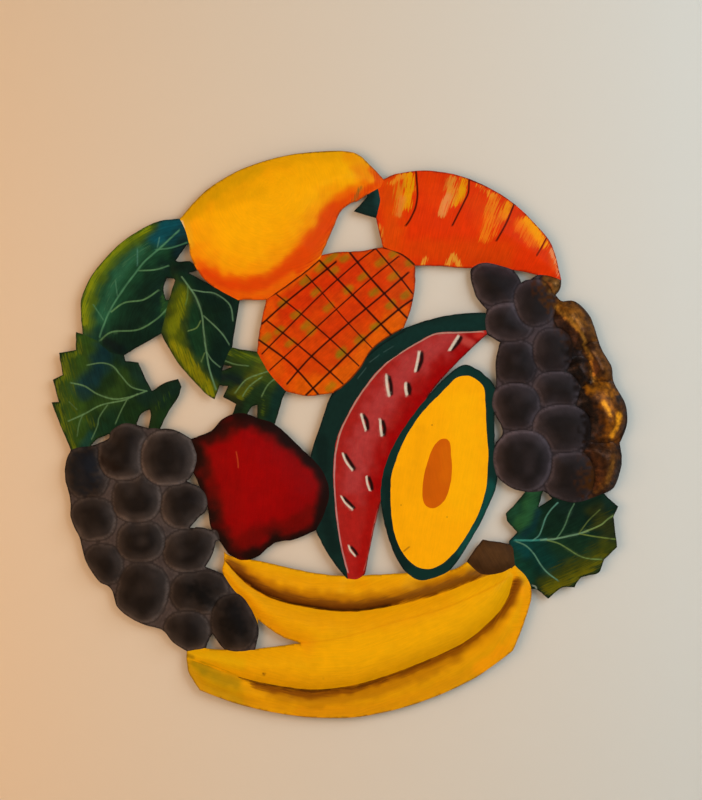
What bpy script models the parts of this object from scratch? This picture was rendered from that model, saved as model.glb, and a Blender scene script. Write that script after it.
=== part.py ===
"""Openwork fruit plate for a wall.

One round sheet of mild steel, cut out round its fruit with a chisel, hammered from behind into relief
and painted. The back of the unhammered middle lies in the plane y = 0, against the wall, and the fruit
rises towards -Y. Metres, +Z up.
"""
import math
from collections import namedtuple

import bmesh
import bpy
import numpy as np
from mathutils.geometry import delaunay_2d_cdt

# Driving dimensions
PLATE_WIDTH = 0.575
SHEET = 0.0012

# How far each form is hammered forward, and how far in from its edge it keeps rising
LEAF_RISE = 0.004
LEAF_SHOULDER = 0.018
MANGO_RISE = 0.013
MANGO_SHOULDER = 0.045
PAPAYA_RISE = 0.011
PAPAYA_SHOULDER = 0.038
PINEAPPLE_RISE = 0.005
PINEAPPLE_SHOULDER = 0.040
POMEGRANATE_RISE = 0.012
POMEGRANATE_SHOULDER = 0.045
BANANA_RISE = 0.010
BANANA_SHOULDER = 0.022
CAP_RISE = 0.003
CAP_SHOULDER = 0.010
GRAPE_RISE = 0.009
GRAPE_SHOULDER = 0.018
BUNCH_RISE = 0.008
BUNCH_SHOULDER = 0.045

# Facets of the hammered surface and steps of the chisel, the narrowest land between two cuts and the
# area of the smallest opening that the chisel can take out
FINE_FACET = 0.0085
MIDDLE_FACET = 0.0115
COARSE_FACET = 0.0165
CUT_STEP = 0.0085
NARROWEST_LAND = 0.0018
SMALLEST_CUT = 0.00002

# Share of a facet that stays clear beside a cut, smoothness of the curves, and the angle of a crease
EDGE_CLEARANCE = 0.55
SAMPLES_A_SPAN = 12
SAMPLES_A_GRAPE = 97
CREASE_ANGLE = math.radians(35)
SAME_PLACE = 1e-7

# The pattern is a drawing in millimetres, x to the right and y down from its top left corner.
# A third value of 1 marks a sharp corner; the cut runs smoothly through the other points.
PATTERN_WIDTH = 575
PATTERN_CENTRE = (340, 434)

MANGO = [
    (180, 219, 1), (199, 197), (220, 181), (250, 166), (290, 155), (335, 151), (357, 154),
    (370, 165), (384, 179.5, 1), (381, 187, 1), (370, 193), (358, 201), (352, 203), (341, 211), (332, 231),
    (320, 259, 1), (303, 273), (277, 292), (266, 300, 1), (238, 300, 1), (219, 290), (203, 278),
    (191, 257), (189, 244), (185, 229),
]
PAPAYA = [
    (376, 183, 1), (384, 179), (401, 173), (432, 171), (469, 179), (506, 198), (534, 223), (552, 246),
    (561, 280, 1), (550, 290, 1), (537, 275, 1), (514, 270, 1), (500, 269.5), (461, 268), (438, 266),
    (410, 266, 1), (384, 252, 1), (379, 232), (376, 218, 1), (380, 200),
]
CALYX = [(354, 211.5, 1), (367, 197, 1), (367, 185, 1), (388, 190, 1), (386, 216, 1), (376, 218, 1)]
PINEAPPLE = [
    (312, 258, 1), (335, 252.5), (360, 251), (383, 247, 1), (402, 254), (415, 264, 1), (415, 285),
    (411, 308), (404, 328, 1), (385, 339), (370, 352), (359, 370), (345, 385), (333, 393, 1),
    (308, 396), (287, 392, 1), (270, 374), (257, 352, 1), (260, 328), (267, 296, 1), (285, 275, 1),
]
MELON = [
    (494, 313, 1), (470, 313), (440, 317), (405, 328), (375, 345), (345, 378), (331, 395),
    (320, 426), (311, 455), (308, 490), (315, 528), (332, 560), (347, 578.5, 1), (357, 579),
    (365, 574, 1), (374, 529), (384, 490), (400, 440), (428, 396), (450, 370), (472, 348),
    (485, 336, 1), (494, 330, 1),
]
AVOCADO = [
    (464, 365), (448, 375), (424, 401), (400, 434), (384, 469), (381, 503), (389, 540), (401, 566),
    (416, 579), (433, 578), (452, 568), (473, 536), (487, 509), (497, 482), (495, 456), (494.5, 430),
    (495, 402), (496, 390), (491, 381), (478, 370),
]
POMEGRANATE = [
    (190, 439, 1), (211, 431), (224, 418), (241, 413), (258, 418), (276, 425), (300, 447),
    (321, 469), (329, 490), (325, 512), (316, 530, 1), (296, 539), (275, 543), (257, 557),
    (242, 560), (229, 554), (221, 543), (211, 527), (207, 505), (200, 487), (192, 470), (184, 452),
]
LEAF_TOP = [
    (178, 219, 1), (160, 221), (140, 230), (120, 244), (105, 259), (91, 277), (82, 297), (81, 314),
    (83, 334, 1), (98, 341, 1), (110, 352), (124, 355, 1), (138, 347), (152, 339), (162, 333, 1),
    (173, 318, 1), (173, 300, 1), (166, 300, 1), (163.5, 289), (167, 278, 1), (180, 279, 1),
    (182, 264, 1), (176, 260.5, 1), (187, 245, 1), (196, 240, 1), (194, 219, 1),
]
LEAF_INNER = [
    (170, 262, 1), (190, 261, 1), (202, 269, 1), (196, 271, 1), (189, 273, 1), (207, 283),
    (222, 291), (240, 299, 1), (236, 322), (232, 348, 1), (227, 356), (222, 371), (220, 385, 1),
    (214.5, 399.5, 1), (205, 393), (192, 379), (178, 363), (167, 345), (161, 333, 1), (165, 317),
    (168.5, 300, 1), (172, 290), (175, 280, 1), (170, 274, 1),
]
LEAF_SIDE = [
    (90, 336, 1), (83, 334, 1), (76, 332, 1), (76, 350, 1), (59, 353, 1), (63, 375, 1),
    (53, 380, 1), (59, 402, 1), (52, 402.5, 1), (60, 424), (71, 450, 1), (88, 460, 1),
    (91, 445.5, 1), (98, 439), (109, 434, 1), (118, 444, 1), (140, 440, 1), (137, 423, 1),
    (140, 416), (145, 411), (150, 410, 1), (151, 416), (148.5, 427, 1), (152, 440, 1),
    (170, 440, 1), (160.5, 428, 1), (168, 413), (178, 397), (181.5, 387, 1), (178, 379, 1),
    (165, 383), (152, 391, 1), (145, 377), (138.5, 362.5, 1), (126, 361, 1), (124, 355, 1),
    (118, 346, 1),
]
LEAF_MIDDLE = [
    (226, 346, 1), (245, 350), (262, 352, 1), (294, 386, 1), (285, 393), (280, 408), (274, 427, 1),
    (257, 427, 1), (257.5, 405, 1), (252, 407), (248, 413, 1), (247, 422, 1), (228, 424, 1),
    (233, 413, 1), (236, 404, 1), (223, 397, 1), (228, 386, 1), (214, 385, 1), (214, 371, 1),
    (223, 370, 1), (232, 367, 1), (221.5, 364, 1), (214, 362, 1),
]
LEAF_LOW = [
    (532, 482, 1), (525, 492), (515, 504), (505.5, 513.5, 1), (507, 521, 1), (517, 532, 1),
    (509, 541, 1), (512, 575, 1), (530, 589, 1), (537, 590), (548, 598.5, 1), (562, 587.5),
    (574.5, 587.5, 1), (581, 577.5), (596, 574), (600, 570.5, 1), (604, 559.5, 1), (617, 547, 1),
    (615, 529), (613.5, 517, 1), (618, 506.5, 1), (605, 495, 1), (596, 484, 1), (550, 484, 1),
    (552, 498, 1), (546, 502), (538.5, 507, 1), (540.5, 499), (543, 491, 1), (546, 480, 1),
]
STEM_CAP = [
    (482.5, 539.5, 1), (509, 543.5, 1), (513, 549), (514.5, 566, 1), (500, 573), (481, 573.5),
    (466.5, 561.5, 1), (475, 549),
]
BANANA_TOP = [
    (224, 551.5, 1), (233, 556.5), (265, 562), (300, 570), (340, 575.5), (404, 573), (450, 570),
    (466, 562, 1), (492, 556, 1), (502, 570, 1), (473, 581), (434, 596), (395, 605.5), (353, 612),
    (311, 608), (271, 598.5), (245, 582.5), (224, 560, 1),
]
BANANA_PAIR = [
    (226, 556, 1), (223, 573), (239, 594.5), (259, 620), (280, 635.5), (300, 643, 1), (277, 646),
    (238, 650), (206.5, 648.3, 1), (198, 644, 1), (187, 647, 1), (186.5, 658, 1), (221, 670.5),
    (261, 682), (311, 689), (352, 685), (400, 670.5), (460, 644.5), (491, 620), (507, 599),
    (514, 574, 1), (496, 566, 1), (350, 590, 1),
]
BANANA_LOW = [
    (186.5, 656, 1), (189, 673), (200, 690, 1), (240, 704.5), (290, 715), (330, 718), (370, 715),
    (420, 702), (471, 680), (513, 650.5, 1), (526, 617), (531.5, 593), (526, 576.5), (514, 565, 1),
    (500, 588, 1), (455, 636, 1), (310, 676, 1),
]
BUNCH_LEFT = [
    (71, 450, 1), (65, 471), (70.5, 500), (71, 518), (80, 539), (86, 561), (99, 581), (111, 588.5),
    (118.5, 608), (139, 622.5), (162, 630), (173.5, 642.5), (187, 651, 1), (206.5, 648, 1), (208.5, 640),
    (212.5, 634, 1), (217, 640), (224.5, 649.5, 1), (238, 651.5), (255, 649.5, 1), (258.5, 627),
    (247, 602), (234, 590), (223, 573.5, 1), (205.5, 566.5, 1), (213, 553), (216, 541.5, 1),
    (220, 540, 1), (217, 531), (208.5, 529, 1), (190, 527.5, 1), (199, 517), (206.5, 510),
    (206.5, 496), (198.5, 486.5, 1), (186, 480.5, 1), (194, 471), (196.5, 455), (190.5, 438, 1),
    (174, 429.5), (160.5, 428.5, 1), (148.5, 428, 1), (126, 423), (112, 430), (108, 439),
    (91, 446, 1), (80, 447),
]
BUNCH_RIGHT = [
    (470.5, 271), (484, 263), (503, 266.5), (514, 270, 1), (520, 285, 1), (529, 280), (537, 275, 1),
    (548, 275.5), (561, 280, 1), (560, 289), (555.5, 295, 1), (562, 301), (575, 301.5), (589, 315),
    (596, 333), (601, 348), (611, 366), (614, 383), (625, 404), (627, 424), (619.5, 443, 1),
    (621.5, 463), (614, 487), (598, 495.5), (575, 502.5), (556, 498), (543, 491, 1), (527, 492),
    (511, 487.5), (497, 476), (493, 457), (495.5, 443, 1), (502.5, 433), (500.5, 425, 1), (492, 404),
    (496.5, 384, 1), (495.5, 362), (500, 342.5, 1), (487, 334.5, 1), (485, 322), (486.5, 309.5, 1),
    (476, 296),
]

# Grapes: centre x and y, half width, half height and turn in degrees, from the lowest to the uppermost
GRAPES_LEFT = [
    (88, 472, 23, 27, 0), (93.5, 518.5, 24, 22, 0), (103.5, 564, 21, 21, 0),
    (200, 592, 29.5, 22, 0), (187, 631, 23.5, 21, 0), (234.5, 622.5, 23.5, 29, 0),
    (143, 592, 26, 31, 15), (192, 549.5, 28.5, 22, -8), (141.5, 540.5, 24, 21, 0),
    (184.5, 506, 23, 23, 0), (137.5, 498, 24.5, 24, 0), (124, 451.5, 25.5, 28.5, 0),
    (169, 457.5, 27.5, 28, 0),
]
GRAPES_RIGHT = [
    (550, 286, 13, 12, 0), (576, 324, 20, 28, -30), (597, 366, 15, 24, -20), (577, 377, 14, 21, 0),
    (601, 467, 21, 28, 0), (600, 412, 28, 31, 0), (569, 477, 25, 26, 0), (515, 363, 21, 23, 0),
    (552, 351, 20, 23, 0), (495, 285, 26, 21.5, 25), (509.5, 322, 24.5, 19.5, 0),
    (534, 303, 20, 24, -15), (555, 390, 23.5, 18.5, 0), (515, 406.5, 24.5, 23.5, 0),
    (561, 428.5, 29, 24, 0), (522, 461, 29, 31, 0),
]
GRAPE_SQUARENESS = 2.4

# Paints: colour and roughness
PAINTS = {
    "leaf_green": ((0.045, 0.130, 0.055), 0.35),
    "mango_yellow": ((0.850, 0.400, 0.010), 0.30),
    "papaya_orange": ((0.700, 0.120, 0.010), 0.35),
    "pineapple_orange": ((0.680, 0.100, 0.005), 0.35),
    "melon_red": ((0.450, 0.040, 0.035), 0.35),
    "avocado_yellow": ((0.900, 0.460, 0.005), 0.30),
    "pomegranate_red": ((0.380, 0.010, 0.005), 0.35),
    "banana_yellow": ((0.800, 0.380, 0.005), 0.30),
    "stalk_brown": ((0.110, 0.050, 0.020), 0.50),
    "grape_purple": ((0.045, 0.035, 0.035), 0.40),
}

# Forms from the lowest to the uppermost: outline, rise, shoulder, facet and paint
FORMS = [
    (LEAF_MIDDLE, LEAF_RISE, LEAF_SHOULDER, COARSE_FACET, "leaf_green"),
    (LEAF_SIDE, LEAF_RISE, LEAF_SHOULDER, COARSE_FACET, "leaf_green"),
    (LEAF_TOP, LEAF_RISE, LEAF_SHOULDER, COARSE_FACET, "leaf_green"),
    (LEAF_INNER, LEAF_RISE, LEAF_SHOULDER, COARSE_FACET, "leaf_green"),
    (LEAF_LOW, LEAF_RISE, LEAF_SHOULDER, COARSE_FACET, "leaf_green"),
    (CALYX, LEAF_RISE, LEAF_SHOULDER, COARSE_FACET, "leaf_green"),
    (PAPAYA, PAPAYA_RISE, PAPAYA_SHOULDER, COARSE_FACET, "papaya_orange"),
    (BANANA_LOW, BANANA_RISE, BANANA_SHOULDER, MIDDLE_FACET, "banana_yellow"),
    (BANANA_PAIR, BANANA_RISE, BANANA_SHOULDER, MIDDLE_FACET, "banana_yellow"),
    (BANANA_TOP, BANANA_RISE, BANANA_SHOULDER, MIDDLE_FACET, "banana_yellow"),
    (STEM_CAP, CAP_RISE, CAP_SHOULDER, COARSE_FACET, "stalk_brown"),
    (MELON, 0.0, LEAF_SHOULDER, COARSE_FACET, "melon_red"),
    (AVOCADO, 0.0, LEAF_SHOULDER, COARSE_FACET, "avocado_yellow"),
    (PINEAPPLE, PINEAPPLE_RISE, PINEAPPLE_SHOULDER, COARSE_FACET, "pineapple_orange"),
    (MANGO, MANGO_RISE, MANGO_SHOULDER, COARSE_FACET, "mango_yellow"),
    (POMEGRANATE, POMEGRANATE_RISE, POMEGRANATE_SHOULDER, COARSE_FACET, "pomegranate_red"),
]
BUNCHES = [(BUNCH_LEFT, GRAPES_LEFT), (BUNCH_RIGHT, GRAPES_RIGHT)]
OPEN = -1

# One form on the plate; bunch is the number of the bunch that a grape is cut back to
Form = namedtuple("Form", "ring rise shoulder facet paint bunch")


def from_pattern(points):
    """Turns pattern millimetres into metres across the plate, x to the right and z up."""
    scale = PLATE_WIDTH / PATTERN_WIDTH
    points = np.array([(point[0], point[1]) for point in points], float)
    return (points - PATTERN_CENTRE) * (scale, -scale)


def curve_through(points, closed):
    """Samples a smooth curve that passes through every point."""
    if closed:
        ring = np.vstack([points[-1:], points, points[:2]])
    else:
        ring = np.vstack([points[:1], points, points[-1:]])
    t = np.linspace(0, 1, SAMPLES_A_SPAN, endpoint=False)[:, None]
    spans = []
    for a, b, c, d in zip(ring, ring[1:], ring[2:], ring[3:]):
        bend = (2 * a - 5 * b + 4 * c - d) * t ** 2 + (3 * b - a - 3 * c + d) * t ** 3
        spans.append(b + ((c - a) * t + bend) / 2)
    if not closed:
        spans.append(points[-1:])
    return np.vstack(spans)


def evenly(points, step):
    """Places points a step apart along a line of points, without its last one."""
    lengths = np.hypot(*np.diff(points, axis=0).T)
    run = np.concatenate([[0], np.cumsum(lengths)])
    count = max(1, round(run[-1] / step))
    at = np.linspace(0, run[-1], count, endpoint=False)
    return np.column_stack([np.interp(at, run, points[:, 0]), np.interp(at, run, points[:, 1])])


def cut_ring(points):
    """Turns an outline of the pattern into a closed ring of points along the cut."""
    places = from_pattern(points)
    corners = [i for i, point in enumerate(points) if len(point) == 3]
    if not corners:
        ring = curve_through(places, True)
        return evenly(np.vstack([ring, ring[:1]]), CUT_STEP)
    stretches = []
    for first, last in zip(corners, corners[1:] + [corners[0] + len(points)]):
        stretch = places[[i % len(points) for i in range(first, last + 1)]]
        stretches.append(evenly(curve_through(stretch, False), CUT_STEP))
    return np.vstack(stretches)


def grape_ring(grape):
    """Gives a grape's ring: an ellipse that the straight chisel cuts leave slightly square."""
    x, y, half_width, half_height, turn = grape
    angle = np.linspace(0, 2 * math.pi, SAMPLES_A_GRAPE)
    power = 2 / GRAPE_SQUARENESS
    across = half_width * np.sign(np.cos(angle)) * np.abs(np.cos(angle)) ** power
    down = half_height * np.sign(np.sin(angle)) * np.abs(np.sin(angle)) ** power
    c = math.cos(math.radians(turn))
    s = math.sin(math.radians(turn))
    ring = np.column_stack([x + c * across - s * down, y + s * across + c * down])
    return evenly(from_pattern(ring), CUT_STEP)


def all_forms():
    """Lists every form of the plate, each bunch followed by its grapes."""
    forms = [Form(cut_ring(points), *rest, None) for points, *rest in FORMS]
    for points, grapes in BUNCHES:
        bunch = len(forms)
        forms.append(Form(cut_ring(points), 0, GRAPE_SHOULDER, FINE_FACET, "grape_purple", bunch))
        for grape in grapes:
            ring = grape_ring(grape)
            form = Form(ring, GRAPE_RISE, GRAPE_SHOULDER, FINE_FACET, "grape_purple", bunch)
            forms.append(form)
    return forms


def inside(ring, places):
    """Says which places lie inside a ring."""
    within = np.zeros(len(places), bool)
    x, z = places.T
    for (x0, z0), (x1, z1) in zip(ring, np.roll(ring, -1, axis=0)):
        if z0 != z1:
            crosses = (z0 > z) != (z1 > z)
            within ^= crosses & (x < (x1 - x0) * (z - z0) / (z1 - z0) + x0)
    return within


def uppermost(forms, places):
    """Gives each place the number of the uppermost form there, or OPEN."""
    found = np.full(len(places), OPEN)
    for number, form in enumerate(forms):
        covered = inside(form.ring, places)
        if form.bunch not in (None, number):
            covered &= inside(forms[form.bunch].ring, places)
        found[covered] = number
    return found


def triangulate(places, links):
    """Joins places into triangles that keep every link, and says which sides the links became."""
    ends = [tuple(place) for place in places]
    points, sides, faces, _, sources, _ = delaunay_2d_cdt(ends, links, [], 0, SAME_PLACE)
    linked = {tuple(sorted(side)) for side, source in zip(sides, sources) if source}
    triangles = np.array([face for face in faces if len(face) == 3])
    return np.array([tuple(point) for point in points]), triangles, linked


def sides_of(triangles):
    """Maps each side, as a pair of points, to the triangles that share it."""
    sides = {}
    for number, triangle in enumerate(triangles):
        for a, b in zip(triangle, np.roll(triangle, -1)):
            sides.setdefault((min(a, b), max(a, b)), []).append(number)
    return sides


def borders(forms):
    """Finds the lines where one form meets another or an opening."""
    links = []
    start = 0
    for form in forms:
        count = len(form.ring)
        links += [(start + i, start + (i + 1) % count) for i in range(count)]
        start += count
    points, triangles, _ = triangulate(np.vstack([form.ring for form in forms]), links)
    owner = uppermost(forms, points[triangles].mean(axis=1))
    lines = []
    for side, sharers in sides_of(triangles).items():
        found = [owner[number] for number in sharers] + [OPEN]
        if found[0] != found[1]:
            lines.append(side)
    return points, lines


def draw_together(points, lines):
    """Merges border points that lie closer than the narrowest land, meeting points first."""
    meeting = np.bincount(np.array(lines).ravel(), minlength=len(points))
    used = sorted({end for line in lines for end in line}, key=lambda end: (-meeting[end], end))
    kept = []
    stands_for = {}
    for end in used:
        near = [i for i, other in enumerate(kept)
                if math.dist(points[other], points[end]) < NARROWEST_LAND]
        stands_for[end] = near[0] if near else len(kept)
        if not near:
            kept.append(end)
    joined = {tuple(sorted(stands_for[end] for end in line)) for line in lines}
    return points[kept], sorted(line for line in joined if line[0] != line[1])


def lattice(facet, low, high):
    """Lays out places in rows, each row half a facet along from the last."""
    places = []
    for row, z in enumerate(np.arange(low[1], high[1], facet * math.sqrt(3) / 2)):
        shift = facet / 2 if row % 2 else 0
        places += [(x, z) for x in np.arange(low[0] + shift, high[0], facet)]
    return np.array(places)


def distance_to(places, points, lines):
    """Measures how far each place is from the nearest line."""
    starts = points[[line[0] for line in lines]]
    along = points[[line[1] for line in lines]] - starts
    square = (along ** 2).sum(axis=1)
    nearest = []
    for place in places:
        share = np.clip(((place - starts) * along).sum(axis=1) / square, 0, 1)
        nearest.append(np.hypot(*(place - starts - along * share[:, None]).T).min())
    return np.array(nearest)


def patches(triangles, sides, walls):
    """Numbers the triangles of each patch that no wall divides."""
    neighbours = [[] for _ in triangles]
    for side, sharers in sides.items():
        if side not in walls and len(sharers) == 2:
            neighbours[sharers[0]].append(sharers[1])
            neighbours[sharers[1]].append(sharers[0])
    patch = np.full(len(triangles), -1)
    for first in range(len(triangles)):
        if patch[first] >= 0:
            continue
        number = patch.max() + 1
        patch[first] = number
        waiting = [first]
        while waiting:
            for neighbour in neighbours[waiting.pop()]:
                if patch[neighbour] < 0:
                    patch[neighbour] = number
                    waiting.append(neighbour)
    return patch


def owners(points, triangles, forms, walls):
    """Gives every triangle the form of its patch, and closes slits too small for the chisel."""
    sides = sides_of(triangles)
    patch = patches(triangles, sides, walls)
    corners = points[triangles]
    one = corners[:, 1] - corners[:, 0]
    other = corners[:, 2] - corners[:, 0]
    area = np.abs(one[:, 0] * other[:, 1] - one[:, 1] * other[:, 0]) / 2
    votes = uppermost(forms, corners.mean(axis=1))
    owner = np.full(len(triangles), OPEN)
    for number in range(patch.max() + 1):
        members = patch == number
        found = np.unique(votes[members])
        weight = [area[members & (votes == value)].sum() for value in found]
        owner[members] = found[np.argmax(weight)]
    sizes = np.bincount(patch, weights=area)
    for sharers in sides.values():
        for here, there in zip(sharers, sharers[::-1]):
            small = sizes[patch[here]] < SMALLEST_CUT <= sizes[patch[there]]
            if small and owner[there] != OPEN:
                owner[patch == patch[here]] = owner[there]
    return owner


def heights_of(places, triangles, owner, forms):
    """Works out how far each place is hammered forward."""
    owner_of_place = np.full(len(places), OPEN)
    in_bunch = np.zeros(len(places), bool)
    for triangle, number in zip(triangles, owner):
        owner_of_place[triangle] = number
        in_bunch[triangle] |= forms[number].bunch is not None
    cuts = []
    bunch_edges = []
    for side, sharers in sides_of(triangles).items():
        found = {owner[number] for number in sharers}
        bunches = {forms[number].bunch for number in found}
        if len(sharers) == 1 or len(found) == 2:
            cuts.append(side)
        if bunches != {None} and (len(sharers) == 1 or len(bunches) == 2):
            bunch_edges.append(side)
    from_cut = distance_to(places, places, cuts)
    from_bunch_edge = np.where(in_bunch, distance_to(places, places, bunch_edges), 0)
    height = BUNCH_RISE * np.sin(np.clip(from_bunch_edge / BUNCH_SHOULDER, 0, 1) * math.pi / 2)
    for number, form in enumerate(forms):
        members = owner_of_place == number
        share = np.clip(from_cut[members] / form.shoulder, 0, 1)
        height[members] += form.rise * np.sin(share * math.pi / 2)
    return height


def paint(name):
    """Makes the varnished paint of one colour."""
    colour, roughness = PAINTS[name]
    material = bpy.data.materials.new(name)
    material.use_nodes = True
    shader = material.node_tree.nodes["Principled BSDF"]
    shader.inputs["Base Color"].default_value = (*colour, 1)
    shader.inputs["Roughness"].default_value = roughness
    shader.inputs["Metallic"].default_value = 0.0
    material.diffuse_color = (*colour, 1)
    return material


def solid_sheet(name, places, heights, triangles, colours):
    """Extrudes the hammered surface through the thickness of the sheet."""
    mesh = bpy.data.meshes.new(name)
    for colour in PAINTS:
        mesh.materials.append(paint(colour))
    slots = list(PAINTS)
    sheet = bmesh.new()
    corners = [sheet.verts.new((x, -height, z)) for (x, z), height in zip(places, heights)]
    for triangle, colour in zip(triangles, colours):
        face = sheet.faces.new([corners[i] for i in triangle])
        face.material_index = slots.index(colour)
    bmesh.ops.delete(sheet, geom=[corner for corner in corners if not corner.link_faces])
    back = sheet.verts[:] + sheet.edges[:] + sheet.faces[:]
    front = bmesh.ops.extrude_face_region(sheet, geom=back, use_keep_orig=True)["geom"]
    raised = [item for item in front if isinstance(item, bmesh.types.BMVert)]
    bmesh.ops.translate(sheet, verts=raised, vec=(0, -SHEET, 0))
    bmesh.ops.recalc_face_normals(sheet, faces=sheet.faces[:])
    sheet.to_mesh(mesh)
    sheet.free()
    mesh.shade_smooth()
    mesh.set_sharp_from_angle(angle=CREASE_ANGLE)
    return bpy.data.objects.new(name, mesh)


def make_plate():
    """Cuts the sheet from the pattern, hammers it and paints it."""
    forms = all_forms()
    points, lines = draw_together(*borders(forms))
    places = [points]
    for facet in (FINE_FACET, MIDDLE_FACET, COARSE_FACET):
        grid = lattice(facet, points.min(axis=0), points.max(axis=0))
        hammered = [number != OPEN and forms[number].facet == facet
                    and (forms[number].rise > 0 or forms[number].bunch is not None)
                    for number in uppermost(forms, grid)]
        grid = grid[hammered]
        places.append(grid[distance_to(grid, points, lines) > facet * EDGE_CLEARANCE])
    places, triangles, walls = triangulate(np.vstack(places), lines)
    owner = owners(places, triangles, forms, walls)
    triangles = triangles[owner != OPEN]
    owner = owner[owner != OPEN]
    heights = heights_of(places, triangles, owner, forms)
    return solid_sheet("fruit_plate", places, heights, triangles, [forms[i].paint for i in owner])


for thing in list(bpy.data.objects):
    bpy.data.objects.remove(thing)
collection = bpy.data.collections.new("fruit_wall_plate")
bpy.context.scene.collection.children.link(collection)
collection.objects.link(make_plate())
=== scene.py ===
"""Looks of the openwork fruit plate: one sheet of steel, cut, hammered, hand painted and varnished.

Shapes and colours are laid out on the maker's pattern, in millimetres, x to the right and y down. The
sheet then takes its place in the shared frame: metres, +Z up, the painted side towards -Y.
"""
import math

import bpy
import numpy as np
from mathutils.geometry import delaunay_2d_cdt
from mathutils.kdtree import KDTree
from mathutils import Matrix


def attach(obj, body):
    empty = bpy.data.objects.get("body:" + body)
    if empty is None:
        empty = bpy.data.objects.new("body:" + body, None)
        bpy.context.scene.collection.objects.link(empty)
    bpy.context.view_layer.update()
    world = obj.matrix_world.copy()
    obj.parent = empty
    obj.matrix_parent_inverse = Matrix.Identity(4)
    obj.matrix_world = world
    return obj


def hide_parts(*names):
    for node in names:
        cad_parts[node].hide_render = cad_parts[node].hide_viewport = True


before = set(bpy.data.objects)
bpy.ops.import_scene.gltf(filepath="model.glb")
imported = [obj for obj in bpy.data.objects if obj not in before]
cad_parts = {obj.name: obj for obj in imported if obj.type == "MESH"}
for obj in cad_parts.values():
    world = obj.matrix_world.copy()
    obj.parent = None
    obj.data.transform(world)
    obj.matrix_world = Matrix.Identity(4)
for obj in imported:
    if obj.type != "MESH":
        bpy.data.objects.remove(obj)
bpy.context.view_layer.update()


# Leaves. Five leaves of the same sheet, hammered only a little, painted dark green with dry yellow
# green along their outer edges and a touch of teal; the veins are drawn over them with a fine brush.
forms = []


def colour(code):
    """Turns a paint chip's six-digit code into linear red, green and blue."""
    parts = np.array([int(code[i:i + 2], 16) for i in (0, 2, 4)]) / 255
    return np.where(parts <= 0.04045, parts / 12.92, ((parts + 0.055) / 1.055) ** 2.4)


def fade(value, start, end):
    """Passes softly from 0 to 1 as a value goes from start to end."""
    t = np.clip((value - start) / (end - start), 0, 1)
    return t * t * (3 - 2 * t)


def grain(x, y, size, seed):
    """Gives soft random mottling from 0 to 1, in patches of a size in millimetres."""
    table = np.random.default_rng(seed).random((64, 64))
    column = np.floor(x / size).astype(int)
    row = np.floor(y / size).astype(int)
    across = fade(x / size - column, 0, 1)
    down = fade(y / size - row, 0, 1)
    top = table[column % 64, row % 64] * (1 - across) + table[(column + 1) % 64, row % 64] * across
    low = (table[column % 64, (row + 1) % 64] * (1 - across)
           + table[(column + 1) % 64, (row + 1) % 64] * across)
    return top * (1 - down) + low * down


def curve_through(points, closed, samples):
    """Samples a smooth curve that passes through every point."""
    points = np.array([point[:2] for point in points], float)
    if closed:
        ring = np.vstack([points[-1:], points, points[:2]])
    else:
        ring = np.vstack([points[:1], points, points[-1:]])
    t = np.linspace(0, 1, samples, endpoint=False)[:, None]
    spans = []
    for a, b, c, d in zip(ring, ring[1:], ring[2:], ring[3:]):
        bend = (2 * a - 5 * b + 4 * c - d) * t ** 2 + (3 * b - a - 3 * c + d) * t ** 3
        spans.append(b + ((c - a) * t + bend) / 2)
    if not closed:
        spans.append(points[-1:])
    return np.vstack(spans)


def from_line(x, y, points):
    """Measures each place's distance from a line of points, or from a single point."""
    if len(points) == 1:
        return np.hypot(x - points[0][0], y - points[0][1])
    nearest = np.full(len(x), np.inf)
    for (x0, y0), (x1, y1) in zip(points, points[1:]):
        dx = x1 - x0
        dy = y1 - y0
        t = np.clip(((x - x0) * dx + (y - y0) * dy) / (dx * dx + dy * dy), 0, 1)
        nearest = np.minimum(nearest, np.hypot(x - x0 - t * dx, y - y0 - t * dy))
    return nearest


def straight(turn):
    """Runs the bristle marks along a straight direction, in degrees down from the right."""
    c = math.cos(math.radians(turn))
    s = math.sin(math.radians(turn))
    return lambda x, y: (x * c + y * s, y * c - x * s)


def around(centre_x, centre_y, radius):
    """Runs the bristle marks in arcs round a place."""
    return lambda x, y: (np.arctan2(y - centre_y, x - centre_x) * radius,
                         np.hypot(x - centre_x, y - centre_y))


def washed(base, x, y, strokes, seed):
    """Lays soft wet strokes over a base colour: colour, strength, half width and points of each."""
    paint = np.tile(colour(base), (len(x), 1))
    for number, (code, strength, half_width, points) in enumerate(strokes):
        ragged = (grain(x, y, 7, seed + number) - 0.5) * half_width * 0.7
        cover = strength * (1 - fade(from_line(x, y, points) + ragged, half_width * 0.25, half_width * 1.6))
        paint += (colour(code) - paint) * cover[:, None]
    return paint


def dry_brushed(x, y, strokes):
    """Lays dry strokes, which the bristles later break up: colours, and how thick the paint lies."""
    weight = np.full((len(x), 1), 1e-9)
    tone = np.tile(colour(strokes[0][0]), (len(x), 1)) * weight if strokes else np.zeros((len(x), 3))
    clear = np.ones(len(x))
    for code, strength, half_width, points in strokes:
        near = from_line(x, y, points)
        cover = strength * (1 - fade(near, half_width * 0.15, half_width * 1.5))
        share = (cover + 1e-5 * np.exp(-near / 4))[:, None]
        tone = tone * (1 - cover[:, None]) + colour(code) * share
        weight = weight * (1 - cover[:, None]) + share
        clear *= 1 - cover
    return tone / weight, 1 - clear


def line_cover(x, y, strength, half_width, points, seed):
    """Says how fully a fine line covers each place; the hand that drew it isn't quite steady."""
    near = from_line(x, y, curve_through(points, False, 4) if len(points) > 1 else points)
    width = half_width * (0.8 + 0.4 * grain(x, y, 9, seed))
    return strength * (1 - fade(near / width, 0.55, 1.4))


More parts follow.
